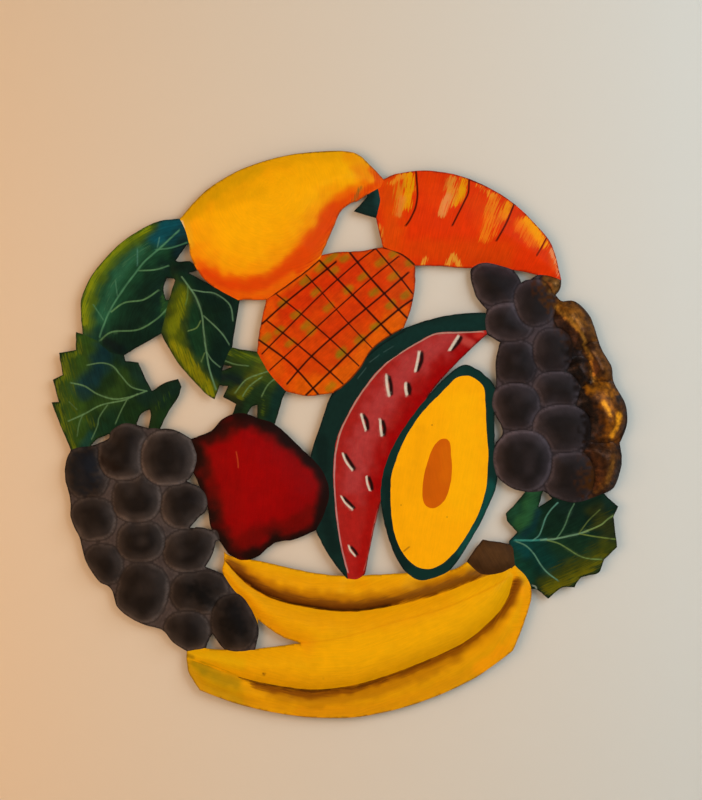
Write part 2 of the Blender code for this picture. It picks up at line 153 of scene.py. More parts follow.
def painter(base, washes, dry, lines, seed, edge=("0C0806", 0.7, 1.5), rub=None):
    """Makes the painter of a form: wet washes, fine lines, a dark cut edge, and dry strokes on top."""
    def paint(x, y, cut, border):
        wet = washed(base, x, y, washes, seed)
        tone, cover = dry_brushed(x, y, dry)
        if rub:
            ragged = (grain(x, y, 11, seed) - 0.5) * rub[3] * 0.7 + (grain(x, y, 2.5, seed) - 0.5) * 2.5
            rubbed = rub[1] * (1 - fade(border + ragged, rub[2], rub[3]))
            wet += (colour(rub[0]) - wet) * rubbed[:, None]
        for number, (code, strength, half_width, points) in enumerate(lines):
            drawn = line_cover(x, y, strength, half_width, points, seed + number)
            wet += (colour(code) - wet) * drawn[:, None]
            cover *= 1 - drawn
        dark = edge[1] * (1 - fade(cut + (grain(x, y, 3, 5) - 0.5) * edge[2], 0, edge[2]))
        wet += (colour(edge[0]) - wet) * dark[:, None]
        return wet, tone, cover * (1 - dark)
    return paint


BRISTLE_MARKS_PER_MM = (0.045, 0.62, 0)
THINNEST_BRISTLE = 0.32
THICKEST_BRISTLE = 0.68
DRIEST_BREAK = 0.72
DENT_DEPTH = 0.0006


def varnished_paint(name, roughness, bristles, mottle, dents, soft=0.5, speck=10.5, metal=0.0, gloss=0.05):
    """Makes a hand-painted, varnished finish over the colours that the brush has laid down."""
    material = bpy.data.materials.new(name)
    material.use_nodes = True
    nodes = material.node_tree.nodes
    links = material.node_tree.links
    shader = nodes["Principled BSDF"]
    shader.inputs["Roughness"].default_value = roughness
    shader.inputs["Metallic"].default_value = metal
    shader.inputs["Specular IOR Level"].default_value = gloss
    wet = nodes.new("ShaderNodeVertexColor")
    wet.layer_name = "wet_paint"
    dry = nodes.new("ShaderNodeVertexColor")
    dry.layer_name = "dry_paint"
    run = nodes.new("ShaderNodeVertexColor")
    run.layer_name = "bristle_run"
    stretch = nodes.new("ShaderNodeVectorMath")
    stretch.operation = "MULTIPLY"
    stretch.inputs[1].default_value = BRISTLE_MARKS_PER_MM
    hairs = nodes.new("ShaderNodeTexNoise")
    hairs.noise_dimensions = "2D"
    hairs.inputs["Scale"].default_value = 1.0
    hairs.inputs["Detail"].default_value = 3.0
    hairs.inputs["Roughness"].default_value = 0.65
    thin = nodes.new("ShaderNodeMapRange")
    thin.inputs["From Min"].default_value = THINNEST_BRISTLE
    thin.inputs["From Max"].default_value = THICKEST_BRISTLE
    thin.inputs["To Min"].default_value = 0.0
    thin.inputs["To Max"].default_value = DRIEST_BREAK
    thick = nodes.new("ShaderNodeMath")
    thick.inputs[1].default_value = soft
    broken = nodes.new("ShaderNodeMapRange")
    broken.interpolation_type = "SMOOTHSTEP"
    over = nodes.new("ShaderNodeMix")
    over.data_type = "RGBA"
    shade = nodes.new("ShaderNodeMapRange")
    shade.inputs["From Min"].default_value = 0.3
    shade.inputs["From Max"].default_value = 0.7
    shade.inputs["To Min"].default_value = 1 - bristles
    shade.inputs["To Max"].default_value = 1 + bristles
    place = nodes.new("ShaderNodeTexCoord")
    clouds = nodes.new("ShaderNodeTexNoise")
    clouds.inputs["Scale"].default_value = 1000 / speck
    clouds.inputs["Detail"].default_value = 5.0
    cloud = nodes.new("ShaderNodeMapRange")
    cloud.inputs["From Min"].default_value = 0.3
    cloud.inputs["From Max"].default_value = 0.7
    cloud.inputs["To Min"].default_value = 1 - mottle
    cloud.inputs["To Max"].default_value = 1 + mottle
    both = nodes.new("ShaderNodeMath")
    both.operation = "MULTIPLY"
    tint = nodes.new("ShaderNodeVectorMath")
    tint.operation = "SCALE"
    bump = nodes.new("ShaderNodeBump")
    bump.inputs["Strength"].default_value = dents
    bump.inputs["Distance"].default_value = DENT_DEPTH
    links.new(run.outputs["Color"], stretch.inputs[0])
    links.new(stretch.outputs["Vector"], hairs.inputs["Vector"])
    links.new(hairs.outputs["Fac"], thin.inputs["Value"])
    links.new(thin.outputs["Result"], thick.inputs[0])
    links.new(dry.outputs["Alpha"], broken.inputs["Value"])
    links.new(thin.outputs["Result"], broken.inputs["From Min"])
    links.new(thick.outputs["Value"], broken.inputs["From Max"])
    links.new(broken.outputs["Result"], over.inputs["Factor"])
    links.new(wet.outputs["Color"], over.inputs["A"])
    links.new(dry.outputs["Color"], over.inputs["B"])
    links.new(hairs.outputs["Fac"], shade.inputs["Value"])
    links.new(place.outputs["Object"], clouds.inputs["Vector"])
    links.new(clouds.outputs["Fac"], cloud.inputs["Value"])
    links.new(shade.outputs["Result"], both.inputs[0])
    links.new(cloud.outputs["Result"], both.inputs[1])
    links.new(over.outputs["Result"], tint.inputs[0])
    links.new(both.outputs["Value"], tint.inputs["Scale"])
    links.new(tint.outputs["Vector"], shader.inputs["Base Color"])
    links.new(clouds.outputs["Fac"], bump.inputs["Height"])
    links.new(bump.outputs["Normal"], shader.inputs["Normal"])
    return material


def add_form(outline, rise, shoulder, material, paint, bristle, lines=(), bunch=None, flat_on=None):
    """Adds a form above the earlier ones: its outline, hammering, finish, painter and fine lines."""
    forms.append({"outline": outline, "rise": rise, "shoulder": shoulder, "material": material,
                  "paint": paint, "bristle": bristle, "lines": lines, "bunch": bunch, "flat_on": flat_on})
    return len(forms) - 1


LEAF_RISE = 4
LEAF_SHOULDER = 18
LEAF_MIDDLE = [
    (226, 346, 1), (245, 350), (262, 352, 1), (294, 386, 1), (285, 393), (280, 408), (274, 427, 1),
    (257, 427, 1), (257.5, 405, 1), (252, 407), (248, 413, 1), (247, 422, 1), (228, 424, 1),
    (233, 413, 1), (236, 404, 1), (223, 397, 1), (228, 386, 1), (214, 385, 1), (214, 371, 1),
    (223, 370, 1), (232, 367, 1), (221.5, 364, 1), (214, 362, 1),
]
LEAF_SIDE = [
    (90, 336, 1), (83, 334, 1), (76, 332, 1), (76, 350, 1), (59, 353, 1), (63, 375, 1),
    (53, 380, 1), (59, 402, 1), (52, 402.5, 1), (60, 424), (71, 450, 1), (88, 460, 1),
    (91, 445.5, 1), (98, 439), (109, 434, 1), (118, 444, 1), (140, 440, 1), (137, 423, 1),
    (140, 416), (145, 411), (150, 410, 1), (151, 416), (148.5, 427, 1), (152, 440, 1),
    (170, 440, 1), (160.5, 428, 1), (168, 413), (178, 397), (181.5, 387, 1), (178, 379, 1),
    (165, 383), (152, 391, 1), (145, 377), (138.5, 362.5, 1), (126, 361, 1), (124, 355, 1),
    (118, 346, 1),
]
LEAF_TOP = [
    (178, 219, 1), (160, 221), (140, 230), (120, 244), (105, 259), (91, 277), (82, 297), (81, 314),
    (83, 334, 1), (98, 341, 1), (110, 352), (124, 355, 1), (138, 347), (152, 339), (162, 333, 1),
    (173, 318, 1), (173, 300, 1), (166, 300, 1), (163.5, 289), (167, 278, 1), (180, 279, 1),
    (182, 264, 1), (176, 260.5, 1), (187, 245, 1), (196, 240, 1), (194, 219, 1),
]
LEAF_INNER = [
    (170, 262, 1), (190, 261, 1), (202, 269, 1), (196, 271, 1), (189, 273, 1), (207, 283),
    (222, 291), (240, 299, 1), (236, 322), (232, 348, 1), (227, 356), (222, 371), (220, 385, 1),
    (214.5, 399.5, 1), (205, 393), (192, 379), (178, 363), (167, 345), (161, 333, 1), (165, 317),
    (168.5, 300, 1), (172, 290), (175, 280, 1), (170, 274, 1),
]
LEAF_LOW = [
    (532, 482, 1), (525, 492), (515, 504), (505.5, 513.5, 1), (507, 521, 1), (517, 532, 1),
    (509, 541, 1), (512, 575, 1), (530, 589, 1), (537, 590), (548, 598.5, 1), (562, 587.5),
    (574.5, 587.5, 1), (581, 577.5), (596, 574), (600, 570.5, 1), (604, 559.5, 1), (617, 547, 1),
    (615, 529), (613.5, 517, 1), (618, 506.5, 1), (605, 495, 1), (596, 484, 1), (550, 484, 1),
    (552, 498, 1), (546, 502), (538.5, 507, 1), (540.5, 499), (543, 491, 1), (546, 480, 1),
]
MIDDLE_WASHES = [
    ("34480C", 0.8, 9, [(240, 356), (258, 364), (272, 380)]),
    ("4A520A", 0.8, 7, [(236, 396), (250, 380), (262, 368)]),
    ("0A1E1A", 0.95, 5, [(216, 376), (232, 378), (240, 382)]),
    ("0A2A22", 0.8, 6, [(284, 384), (278, 400), (270, 420)]),
    ("101C10", 0.8, 5, [(228, 398), (240, 404), (236, 418)]),
]
MIDDLE_DRY = [
    ("5C6C0C", 0.7, 5, [(229, 352), (246, 355), (260, 360)]),
    ("5A660A", 0.6, 5, [(240, 398), (250, 388), (262, 372)]),
    ("4A6410", 0.5, 3, [(264, 396), (262, 420)]),
]
MIDDLE_VEINS = [
    ("5F8052", 0.59, 0.7, [(221, 359), (234, 364), (248, 366)]),
    ("6E8F58", 0.59, 0.7, [(236, 392), (246, 380), (260, 374), (276, 369)]),
    ("6E8F58", 0.55, 0.7, [(243, 396), (250, 386), (262, 377)]),
    ("6E8F58", 0.47, 0.7, [(262, 396), (268, 385), (276, 378)]),
    ("0A140C", 0.68, 1.0, [(263, 354), (276, 370), (291, 385)]),
]
SIDE_WASHES = [
    ("2E4A14", 0.85, 15, [(88, 348), (74, 375), (74, 410), (80, 436)]),
    ("082A30", 0.85, 10, [(104, 352), (98, 372), (84, 388)]),
    ("2A4416", 0.7, 9, [(128, 374), (118, 392), (104, 404)]),
    ("12301C", 0.7, 9, [(112, 416), (124, 430), (96, 426)]),
    ("0E2418", 0.9, 10, [(146, 398), (162, 398), (174, 387)]),
    ("10281C", 0.8, 7, [(118, 352), (132, 366), (142, 378)]),
    ("14403A", 0.7, 5, [(90, 436), (84, 450)]),
]
SIDE_DRY = [
    ("62700C", 0.6, 5, [(79, 338), (79, 352), (64, 357), (66, 374), (57, 384), (62, 400), (58, 408),
                        (66, 430), (74, 447)]),
    ("4C600C", 0.45, 9, [(70, 365), (72, 398), (72, 430)]),
    ("6E7810", 0.5, 4, [(62, 360), (64, 372)]),
    ("4A5C0C", 0.45, 7, [(84, 412), (94, 424)]),
    ("3A5A14", 0.4, 5, [(150, 415), (160, 405), (168, 395)]),
]
SIDE_VEINS = [
    ("638858", 0.64, 0.75, [(147, 391), (130, 397), (114, 399), (98, 394), (85, 386), (72, 383)]),
    ("638858", 0.64, 0.75, [(138, 394), (125, 400), (102, 405), (85, 414), (69, 421)]),
    ("638858", 0.59, 0.7, [(147, 391), (132, 387), (121, 375), (113, 366), (102, 363), (89, 365)]),
    ("638858", 0.55, 0.65, [(128, 399), (122, 410), (116, 423)]),
    ("638858", 0.51, 0.65, [(108, 405), (100, 417), (98, 426), (92, 439)]),
    ("638858", 0.42, 0.65, [(84, 414), (80, 423), (78, 435)]),
    ("638858", 0.38, 0.65, [(70, 402), (77, 409)]),
]
TOP_WASHES = [
    ("1A462C", 0.85, 14, [(158, 240), (130, 264), (110, 292), (98, 325)]),
    ("265A3E", 0.7, 6, [(140, 250), (121, 272), (110, 296), (102, 318)]),
    ("4E6608", 0.8, 8, [(150, 228), (128, 241), (108, 260), (94, 282), (87, 305), (87, 326)]),
    ("0A2216", 0.95, 15, [(180, 262), (160, 280), (148, 305), (130, 330), (118, 345)]),
    ("0A1E14", 0.8, 8, [(165, 325), (150, 336), (130, 347)]),
    ("24481E", 0.6, 4, [(166, 288), (166, 312)]),
    ("0A4A54", 0.95, 8, [(178, 224), (168, 228), (156, 240)]),
    ("08343A", 0.85, 6, [(183, 230), (172, 242)]),
    ("0A2024", 0.85, 5, [(184, 240), (178, 254)]),
    ("061414", 0.85, 6, [(108, 342), (120, 349)]),
    ("10342E", 0.6, 6, [(100, 332), (92, 336)]),
]
TOP_DRY = [
    ("7C8C0A", 0.8, 5.5, [(148, 228), (128, 240), (108, 258), (93, 280), (85, 302), (85, 322)]),
    ("4A6A18", 0.45, 6, [(136, 242), (114, 262), (100, 285), (93, 310)]),
    ("4A8058", 0.35, 5, [(148, 246), (128, 264), (114, 286), (106, 308)]),
    ("2E5A20", 0.5, 4, [(164, 288), (164, 312), (168, 322)]),
]
TOP_VEINS = [
    ("4E8660", 0.68, 0.9, [(179, 231), (161, 248), (146, 261), (137, 272), (125, 288), (112, 308),
                          (104, 326), (100, 337)]),
    ("4E8474", 0.47, 0.7, [(160, 238), (158, 247)]),
    ("4E8474", 0.47, 0.7, [(138, 250), (138, 265)]),
    ("4E8464", 0.42, 0.7, [(116, 281), (118, 296)]),
    ("4E8460", 0.42, 0.7, [(94, 305), (104, 320)]),
    ("4E8660", 0.59, 0.75, [(157, 250), (172, 248), (186, 243)]),
    ("5E9060", 0.59, 0.75, [(140, 271), (156, 270), (168, 266)]),
    ("5E8A58", 0.64, 0.8, [(112, 312), (125, 303), (144, 300), (158, 291)]),
    ("5E8A58", 0.64, 0.8, [(101, 340), (113, 332), (138, 330), (156, 320), (168, 308)]),
]
INNER_WASHES = [
    ("14381E", 0.8, 9, [(184, 290), (196, 320), (203, 355), (212, 385)]),
    ("081E14", 0.9, 13, [(205, 292), (226, 308), (224, 340), (216, 370)]),
    ("4C5A04", 0.9, 10, [(182, 294), (174, 320), (178, 348), (192, 370), (210, 390)]),
    ("0A1A12", 0.9, 5, [(176, 268), (200, 269)]),
    ("1E3A18", 0.6, 4, [(176, 278), (172, 290)]),
]
INNER_DRY = [
    ("727A06", 0.75, 7, [(184, 296), (179, 314), (173, 330)]),
    ("828204", 0.8, 7, [(174, 344), (188, 364), (202, 382), (212, 394)]),
    ("7C7C06", 0.45, 4, [(188, 350), (200, 370), (212, 388)]),
    ("5A6806", 0.6, 6, [(172, 322), (170, 338)]),
]
INNER_VEINS = [
    ("6A9066", 0.68, 0.85, [(182, 277), (190, 288), (196, 297), (202, 313), (204, 331), (207, 354),
                           (210, 370), (216, 389)]),
    ("6A9066", 0.59, 0.7, [(192, 290), (203, 292), (216, 294), (230, 305), (233, 320)]),
    ("6A9066", 0.59, 0.7, [(204, 316), (217, 328), (224, 336), (229, 344)]),
    ("6E8C4C", 0.55, 0.7, [(201, 321), (197, 328), (189, 331)]),
    ("5C8040", 0.42, 0.7, [(188, 286), (188, 296), (186, 305)]),
    ("6A9066", 0.51, 0.7, [(207, 352), (212, 360), (220, 367)]),
    ("6E8C4C", 0.42, 0.7, [(205, 353), (202, 361)]),
]
LOW_WASHES = [
    ("081E12", 0.85, 22, [(560, 502), (590, 508), (605, 520)]),
    ("06322A", 0.85, 13, [(520, 530), (534, 548), (548, 562)]),
    ("064240", 0.8, 7, [(514, 541), (524, 552)]),
    ("0C3C2E", 0.8, 7, [(516, 560), (530, 578)]),
    ("14301A", 0.7, 9, [(560, 548), (590, 548)]),
    ("3A4006", 0.8, 11, [(550, 582), (572, 572), (590, 562), (606, 548)]),
    ("2A2E08", 0.8, 9, [(596, 512), (608, 530)]),
    ("24522C", 0.95, 8, [(534, 490), (530, 503), (526, 516), (520, 523)]),
    ("1C4A30", 0.7, 5, [(516, 506), (510, 516)]),
    ("082C2C", 0.9, 4, [(538, 512), (532, 528), (524, 534)]),
]
LOW_DRY = [
    ("605C04", 0.75, 8, [(545, 589), (566, 579), (586, 569), (602, 557)]),
    ("424608", 0.5, 8, [(552, 570), (580, 558), (606, 540)]),
    ("6A6204", 0.5, 4, [(550, 592), (570, 583), (592, 570)]),
    ("3A3E0A", 0.5, 8, [(592, 528), (610, 514)]),
]
LOW_VEINS_AND_GLINT = [
    ("3E9080", 0.68, 0.99, [(515.3, 540), (533.3, 540), (546, 539)]),
    ("78A078", 0.64, 0.855, [(540, 539.5), (553.3, 538.7), (566.7, 536), (578.7, 533.3), (586.7, 530.7)]),
    ("7E9450", 0.64, 0.81, [(583, 532), (600, 524.7), (606.7, 519.3), (614.7, 514.7)]),
    ("5E9880", 0.6, 0.72, [(533.3, 539.3), (538.7, 534.7), (542, 526.7), (545.3, 517.3),
                           (550.7, 509.3), (557.3, 502.7)]),
    ("5E8860", 0.56, 0.675, [(556, 538), (561.3, 530.7), (565.3, 522.7), (569.3, 512), (574, 504)]),
    ("6A7C3C", 0.52, 0.63, [(578.7, 532.7), (584, 525.3), (589.3, 518.7), (598.7, 510)]),
    ("76883C", 0.6, 0.675, [(578.7, 533.3), (593.3, 536), (616, 539.3)]),
    ("76904C", 0.56, 0.675, [(546.7, 540), (557.3, 542.7), (566.7, 548), (577.3, 554.7),
                           (586.7, 558), (601.3, 559.3)]),
    ("66987A", 0.6, 0.72, [(516, 541.3), (525.3, 545.3), (533.3, 553.3), (540, 564),
                           (546.7, 572), (557.3, 580)]),
    # Not a vein: a painted highlight on the little curl of the cut edge where this leaf meets the bananas.
    ("9FB0A0", 0.56, 0.81, [(533, 585.5), (535.5, 586.5), (536.5, 590.5)]),
]
leaf_paint = varnished_paint("leaf_paint", 0.55, 0.20, 0.18, 0.25, 0.6)

for outline, base, washes, dry, veins_and_glint, run, seed in [
        (LEAF_MIDDLE, "182E14", MIDDLE_WASHES, MIDDLE_DRY, MIDDLE_VEINS, straight(25), 110),
        (LEAF_SIDE, "162E12", SIDE_WASHES, SIDE_DRY, SIDE_VEINS, straight(75), 120),
        (LEAF_TOP, "103420", TOP_WASHES, TOP_DRY, TOP_VEINS, around(205, 345, 110), 130),
        (LEAF_INNER, "0C2616", INNER_WASHES, INNER_DRY, INNER_VEINS, straight(72), 140),
        (LEAF_LOW, "0C2818", LOW_WASHES, LOW_DRY, LOW_VEINS_AND_GLINT, straight(-25), 150)]:
    add_form(outline, LEAF_RISE, LEAF_SHOULDER, leaf_paint, painter(base, washes, dry, veins_and_glint, seed), run,
             veins_and_glint)


# Papaya and its calyx. A long slice of fruit in orange, with yellow and pink dry-brush streaks between
# four dark red lines, hammered into a long pillow; a small dark green point sits beside its stem end.
CALYX = [(354, 211.5, 1), (367, 197, 1), (367, 185, 1), (388, 190, 1), (386, 216, 1), (376, 218, 1)]
PAPAYA = [
    (376, 183, 1), (384, 179), (401, 173), (432, 171), (469, 179), (506, 198), (534, 223), (552, 246),
    (561, 280, 1), (550, 290, 1), (537, 275, 1), (514, 270, 1), (500, 269.5), (461, 268), (438, 266),
    (410, 266, 1), (384, 252, 1), (379, 232), (376, 218, 1), (380, 200),
]
PAPAYA_RISE = 11
PAPAYA_SHOULDER = 38
CALYX_WASHES = [("123C38", 0.6, 6, [(380, 195), (382, 210)])]
PAPAYA_WASHES = [
    ("D85000", 0.7, 12, [(390, 190), (392, 240)]),
    ("E23E00", 0.7, 10, [(430, 182), (434, 200)]),
    ("E24000", 0.7, 9, [(476, 205), (482, 225)]),
    ("D64600", 0.6, 12, [(405, 250), (460, 252), (505, 256)]),
    ("E85800", 0.6, 6, [(520, 226), (530, 240)]),
    ("E03400", 0.8, 9, [(528, 260), (545, 268), (520, 264)]),
    ("F05C10", 0.7, 5, [(552, 252), (556, 266)]),
]
PAPAYA_DRY = [
    ("E89C00", 0.85, 6.5, [(409, 174), (409, 190), (405, 207)]),
    ("DE7E14", 0.65, 6, [(399, 178), (398, 200), (396, 214)]),
    ("DE8038", 0.5, 4, [(402, 200), (398, 215)]),
    ("E89A00", 0.75, 5, [(464, 180), (461, 194), (456, 205)]),
    ("E48A28", 0.75, 7, [(452, 180), (449, 198), (443, 213)]),
    ("E88C50", 0.6, 4.5, [(447, 198), (442, 214)]),
    ("F49008", 0.7, 5.5, [(509, 204), (504, 216)]),
    ("EC7010", 0.6, 5, [(502, 216), (495, 234)]),
    ("F07C10", 0.7, 8, [(494, 197), (490, 216), (484, 238)]),
    ("F29820", 0.5, 5, [(478, 184), (490, 194)]),
    ("FC9C04", 0.85, 8, [(526, 222), (537, 233), (543, 242)]),
    ("F46A10", 0.6, 8, [(518, 226), (530, 244)]),
    ("F28A50", 0.7, 4, [(552, 250), (558, 266), (561, 278)]),
    ("E8A030", 0.7, 3, [(422, 266), (426, 259)]),
    ("E8A030", 0.75, 4, [(447, 267), (453, 256), (459, 266)]),
    ("E89020", 0.6, 3, [(390, 184), (402, 176)]),
    ("E09028", 0.5, 3, [(380, 226), (382, 244)]),
]
PAPAYA_LINES = [
    ("3C0E00", 0.95, 1.0, [(416, 172), (417, 189), (417, 198), (415, 209), (410, 220), (406, 226)]),
    ("3C0E00", 0.95, 0.9, [(469, 180), (468, 193), (464, 202), (458, 214), (452, 226)]),
    ("4A1000", 0.95, 0.95, [(514, 204), (510, 214), (505, 225), (496, 241)]),
    ("5A1800", 0.85, 0.85, [(547, 237), (542, 246), (536, 256)]),
    ("4A1400", 0.7, 0.8, [(469, 180), (490, 188), (506, 198)]),
]
papaya_paint = varnished_paint("papaya_paint", 0.55, 0.09, 0.06, 0.18, 0.42)


def papaya_bristle(x, y):
    """Runs the bristle marks across the slice, leaning over more and more to the right."""
    return y, x + np.interp(x, [410, 460, 505, 540], [0.18, 0.36, 0.5, 0.6]) * (y - 180)


add_form(CALYX, LEAF_RISE, LEAF_SHOULDER, leaf_paint, painter("0E2622", CALYX_WASHES, [], [], 220),
         straight(20))
add_form(PAPAYA, PAPAYA_RISE, PAPAYA_SHOULDER, papaya_paint,
         painter("DC3400", PAPAYA_WASHES, PAPAYA_DRY, PAPAYA_LINES, 210), papaya_bristle, PAPAYA_LINES)


# Bananas. A hand of bananas along the foot of the plate, the middle two running into each other, each
# hammered into a long ridge. Warm yellow, the two valleys shaded wet in brown and gone over dry, olive
# at the left tips; the cut stalk at their right end is a small brown cap.
BANANA_LOW = [
    (186.5, 656, 1), (189, 673), (200, 690, 1), (240, 704.5), (290, 715), (330, 718), (370, 715),
    (420, 702), (471, 680), (513, 650.5, 1), (526, 617), (531.5, 593), (526, 576.5), (514, 565, 1),
    (500, 588, 1), (455, 636, 1), (310, 676, 1),
]
BANANA_PAIR = [
    (226, 556, 1), (223, 573), (239, 594.5), (259, 620), (280, 635.5), (300, 643, 1), (277, 646),
    (238, 650), (206.5, 648.3, 1), (198, 644, 1), (187, 647, 1), (186.5, 658, 1), (221, 670.5),
    (261, 682), (311, 689), (352, 685), (400, 670.5), (460, 644.5), (491, 620), (507, 599),
    (514, 574, 1), (496, 566, 1), (350, 590, 1),
]
BANANA_TOP = [
    (224, 551.5, 1), (233, 556.5), (265, 562), (300, 570), (340, 575.5), (404, 573), (450, 570),
    (466, 562, 1), (492, 556, 1), (502, 570, 1), (473, 581), (434, 596), (395, 605.5), (353, 612),
    (311, 608), (271, 598.5), (245, 582.5), (224, 560, 1),
]
STEM_CAP = [
    (482.5, 539.5, 1), (509, 543.5, 1), (513, 549), (514.5, 566, 1), (500, 573), (481, 573.5),
    (466.5, 561.5, 1), (475, 549),
]
BANANA_RISE = 10
BANANA_SHOULDER = 22
CAP_RISE = 3
CAP_SHOULDER = 10
LOW_WASH = [
    ("B88C00", 0.8, 10, [(192, 666), (210, 682), (240, 696)]),
    ("947C04", 0.65, 6, [(196, 662), (216, 674), (236, 681)]),
    ("DC9800", 0.7, 9, [(250, 694), (311, 704), (352, 701), (405, 687), (465, 661), (502, 634)]),
    ("E89800", 0.6, 7, [(300, 712), (370, 709), (430, 692), (480, 668), (508, 645)]),
    ("FFA200", 0.9, 7, [(480, 668), (508, 646), (521, 625), (528, 602), (525, 588)]),
    ("D2A410", 0.5, 3, [(190, 668), (200, 686), (240, 701)]),
    ("B47600", 0.8, 7.5, [(274, 691), (290, 695), (318, 698), (360, 693), (410, 677), (455, 656)]),
    ("B47600", 0.7, 4.5, [(455, 655), (492, 629), (512, 602), (519, 582)]),
    ("7C4200", 0.85, 4, [(258, 685), (280, 690), (311, 694), (352, 689), (400, 674), (455, 650),
                           (490, 625), (509, 602), (517, 582)]),
]
LOW_SHADE = [
    ("864C00", 0.7, 4.5, [(254, 684), (280, 690), (311, 694), (352, 689), (400, 674), (455, 650),
                          (490, 625), (509, 602), (517, 580)]),
    ("4E2600", 0.8, 2.6, [(240, 678), (262, 683), (285, 688), (311, 691), (352, 687), (385, 678)]),
    ("663800", 0.55, 2.4, [(400, 672), (460, 646), (494, 619), (509, 598), (515, 582)]),
]
LOW_LINES = [
    ("2E1400", 0.8, 0.8, [(244, 678.5), (262, 683), (290, 688), (311, 690), (330, 689)]),
    ("3A1A00", 0.6, 0.7, [(330, 689), (352, 686.5), (376, 680), (400, 672), (430, 660)]),
]
PAIR_WASH = [
    ("F2AE00", 0.75, 14, [(330, 655), (390, 640), (440, 622), (485, 598)]),
    ("EAA000", 0.7, 9, [(240, 580), (262, 600), (300, 617), (352, 622), (400, 616), (445, 603)]),
    ("E89E00", 0.6, 5, [(228, 572), (242, 593), (262, 618), (285, 636)]),
    ("DCAA00", 0.7, 6, [(192, 653), (215, 658), (240, 664)]),
    ("EEA800", 0.5, 7, [(270, 672), (311, 680), (352, 676), (400, 661)]),
    ("8A6A00", 0.7, 2, [(188, 655), (193, 657)]),
    ("6A3A00", 0.85, 1.3, [(264, 673)]),
    ("A06A00", 0.5, 1.0, [(324, 678)]),
]
PAIR_SHADE = [
    ("B09000", 0.6, 3, [(190, 658), (215, 668), (238, 675)]),
    ("D08800", 0.5, 2.5, [(500, 608), (510, 588)]),
    ("F4B808", 0.35, 7, [(210, 655), (260, 662), (320, 662), (390, 648)]),
]
PAIR_LINES = [
    ("DE9400", 0.5, 0.9, [(300, 642.7), (343, 636), (387, 623), (441, 608), (484, 590), (508, 577)]),
]
TOP_WASH = [
    ("E89C00", 0.7, 7, [(232, 560), (262, 570), (300, 580), (345, 585), (400, 582), (450, 575)]),
    ("F4AC00", 0.5, 4, [(250, 562), (300, 573), (345, 578), (404, 576), (450, 572)]),
    ("C88600", 0.6, 6, [(420, 588), (450, 580), (476, 570)]),
    ("B47000", 0.8, 7.2, [(238, 569), (262, 583), (300, 595), (350, 600), (400, 594), (440, 584), (475, 571),
                        (492, 563)]),
    ("784206", 0.85, 5.2, [(230, 562), (246, 577), (272, 592), (311, 603), (353, 606), (395, 600),
                          (436, 589), (470, 577), (492, 568)]),
    ("4C2000", 0.85, 3.2, [(238, 573), (258, 588), (290, 601), (330, 608), (360, 608), (396, 602)]),
]
TOP_SHADE = [
    ("84500A", 0.7, 6, [(228, 560), (246, 577), (272, 592), (311, 602), (353, 605), (395, 599),
                         (436, 588), (470, 576), (492, 567)]),
    ("6A3800", 0.8, 3.8, [(236, 570), (258, 587), (290, 600), (330, 607), (360, 607), (400, 601)]),
    ("3A1600", 0.85, 2.2, [(240, 576), (262, 591), (290, 603), (330, 609), (360, 610), (390, 605)]),
    ("6A3A00", 0.6, 2.4, [(400, 602), (440, 592), (480, 576)]),
]
TOP_LINES = [
    ("200E00", 0.85, 0.9, [(252, 586), (271, 597), (290, 602.5), (311, 606), (334, 609.5),
                           (353, 610), (372, 608.5), (388, 605)]),
    ("2A1200", 0.7, 0.8, [(226, 561), (236, 572), (246, 581)]),
]
CAP_WASH = [
    ("54381C", 0.6, 8, [(480, 552), (502, 556)]),
    ("38240F", 0.6, 5, [(470, 562), (490, 572), (510, 566)]),
]
banana_paint = varnished_paint("banana_paint", 0.55, 0.05, 0.04, 0.16, 0.7)
stalk_paint = varnished_paint("stalk_paint", 0.60, 0.12, 0.15, 0.30)


def along_valley(x, y):
    """Runs the bristle marks along the hanging curve of the bananas."""
    return x, y - np.interp(x, [190, 240, 311, 352, 400, 460, 492, 511],
                            [655, 672, 689, 688, 672, 645, 621, 590])


for outline, base, washes, shade, lines, seed in [
        (BANANA_LOW, "EAA400", LOW_WASH, LOW_SHADE, LOW_LINES, 310),
        (BANANA_PAIR, "E8A600", PAIR_WASH, PAIR_SHADE, PAIR_LINES, 320),
        (BANANA_TOP, "EEA800", TOP_WASH, TOP_SHADE, TOP_LINES, 330)]:
    add_form(outline, BANANA_RISE, BANANA_SHOULDER, banana_paint,
             painter(base, washes, shade, lines, seed, ("2A1A04", 0.6, 1.3)), along_valley, lines)
add_form(STEM_CAP, CAP_RISE, CAP_SHOULDER, stalk_paint, painter("462C14", CAP_WASH, [], [], 340),
         straight(60))


# Melon slice. The flat middle of the sheet: a dark green rind, then red flesh that deepens towards the
# right, a pale line round the flesh, and seeds put in with one white and one black touch each.
MELON = [
    (494, 313, 1), (470, 313), (440, 317), (405, 328), (375, 345), (345, 378), (331, 395),
    (320, 426), (311, 455), (308, 490), (315, 528), (332, 560), (347, 578.5, 1), (357, 579),
    (365, 574, 1), (374, 529), (384, 490), (400, 440), (428, 396), (450, 370), (472, 348),
    (485, 336, 1), (494, 330, 1),
]
MELON_FLESH = [
    (490, 330, 1), (472, 331.5), (458.7, 332), (446.7, 332), (436, 333), (428, 336), (420, 340.7),
    (412, 345.3), (404, 350), (396, 356), (385.3, 363.3), (374.7, 374), (365.3, 386), (358.7, 395.3),
    (352, 406), (345.3, 419.3), (340, 430), (336, 442), (334.4, 454), (333.3, 466), (333.3, 480.7),
    (334.4, 496.7), (335.7, 513), (337.7, 529), (340.3, 545), (343.7, 559.7), (347, 571.7),
    (348, 579, 1), (357, 579.4), (365.3, 574.2, 1), (374.3, 529), (384.3, 490), (400.3, 440.2),
    (428.3, 396.2), (450.3, 370.2), (472.3, 348.2), (485.3, 336.2, 1),
]
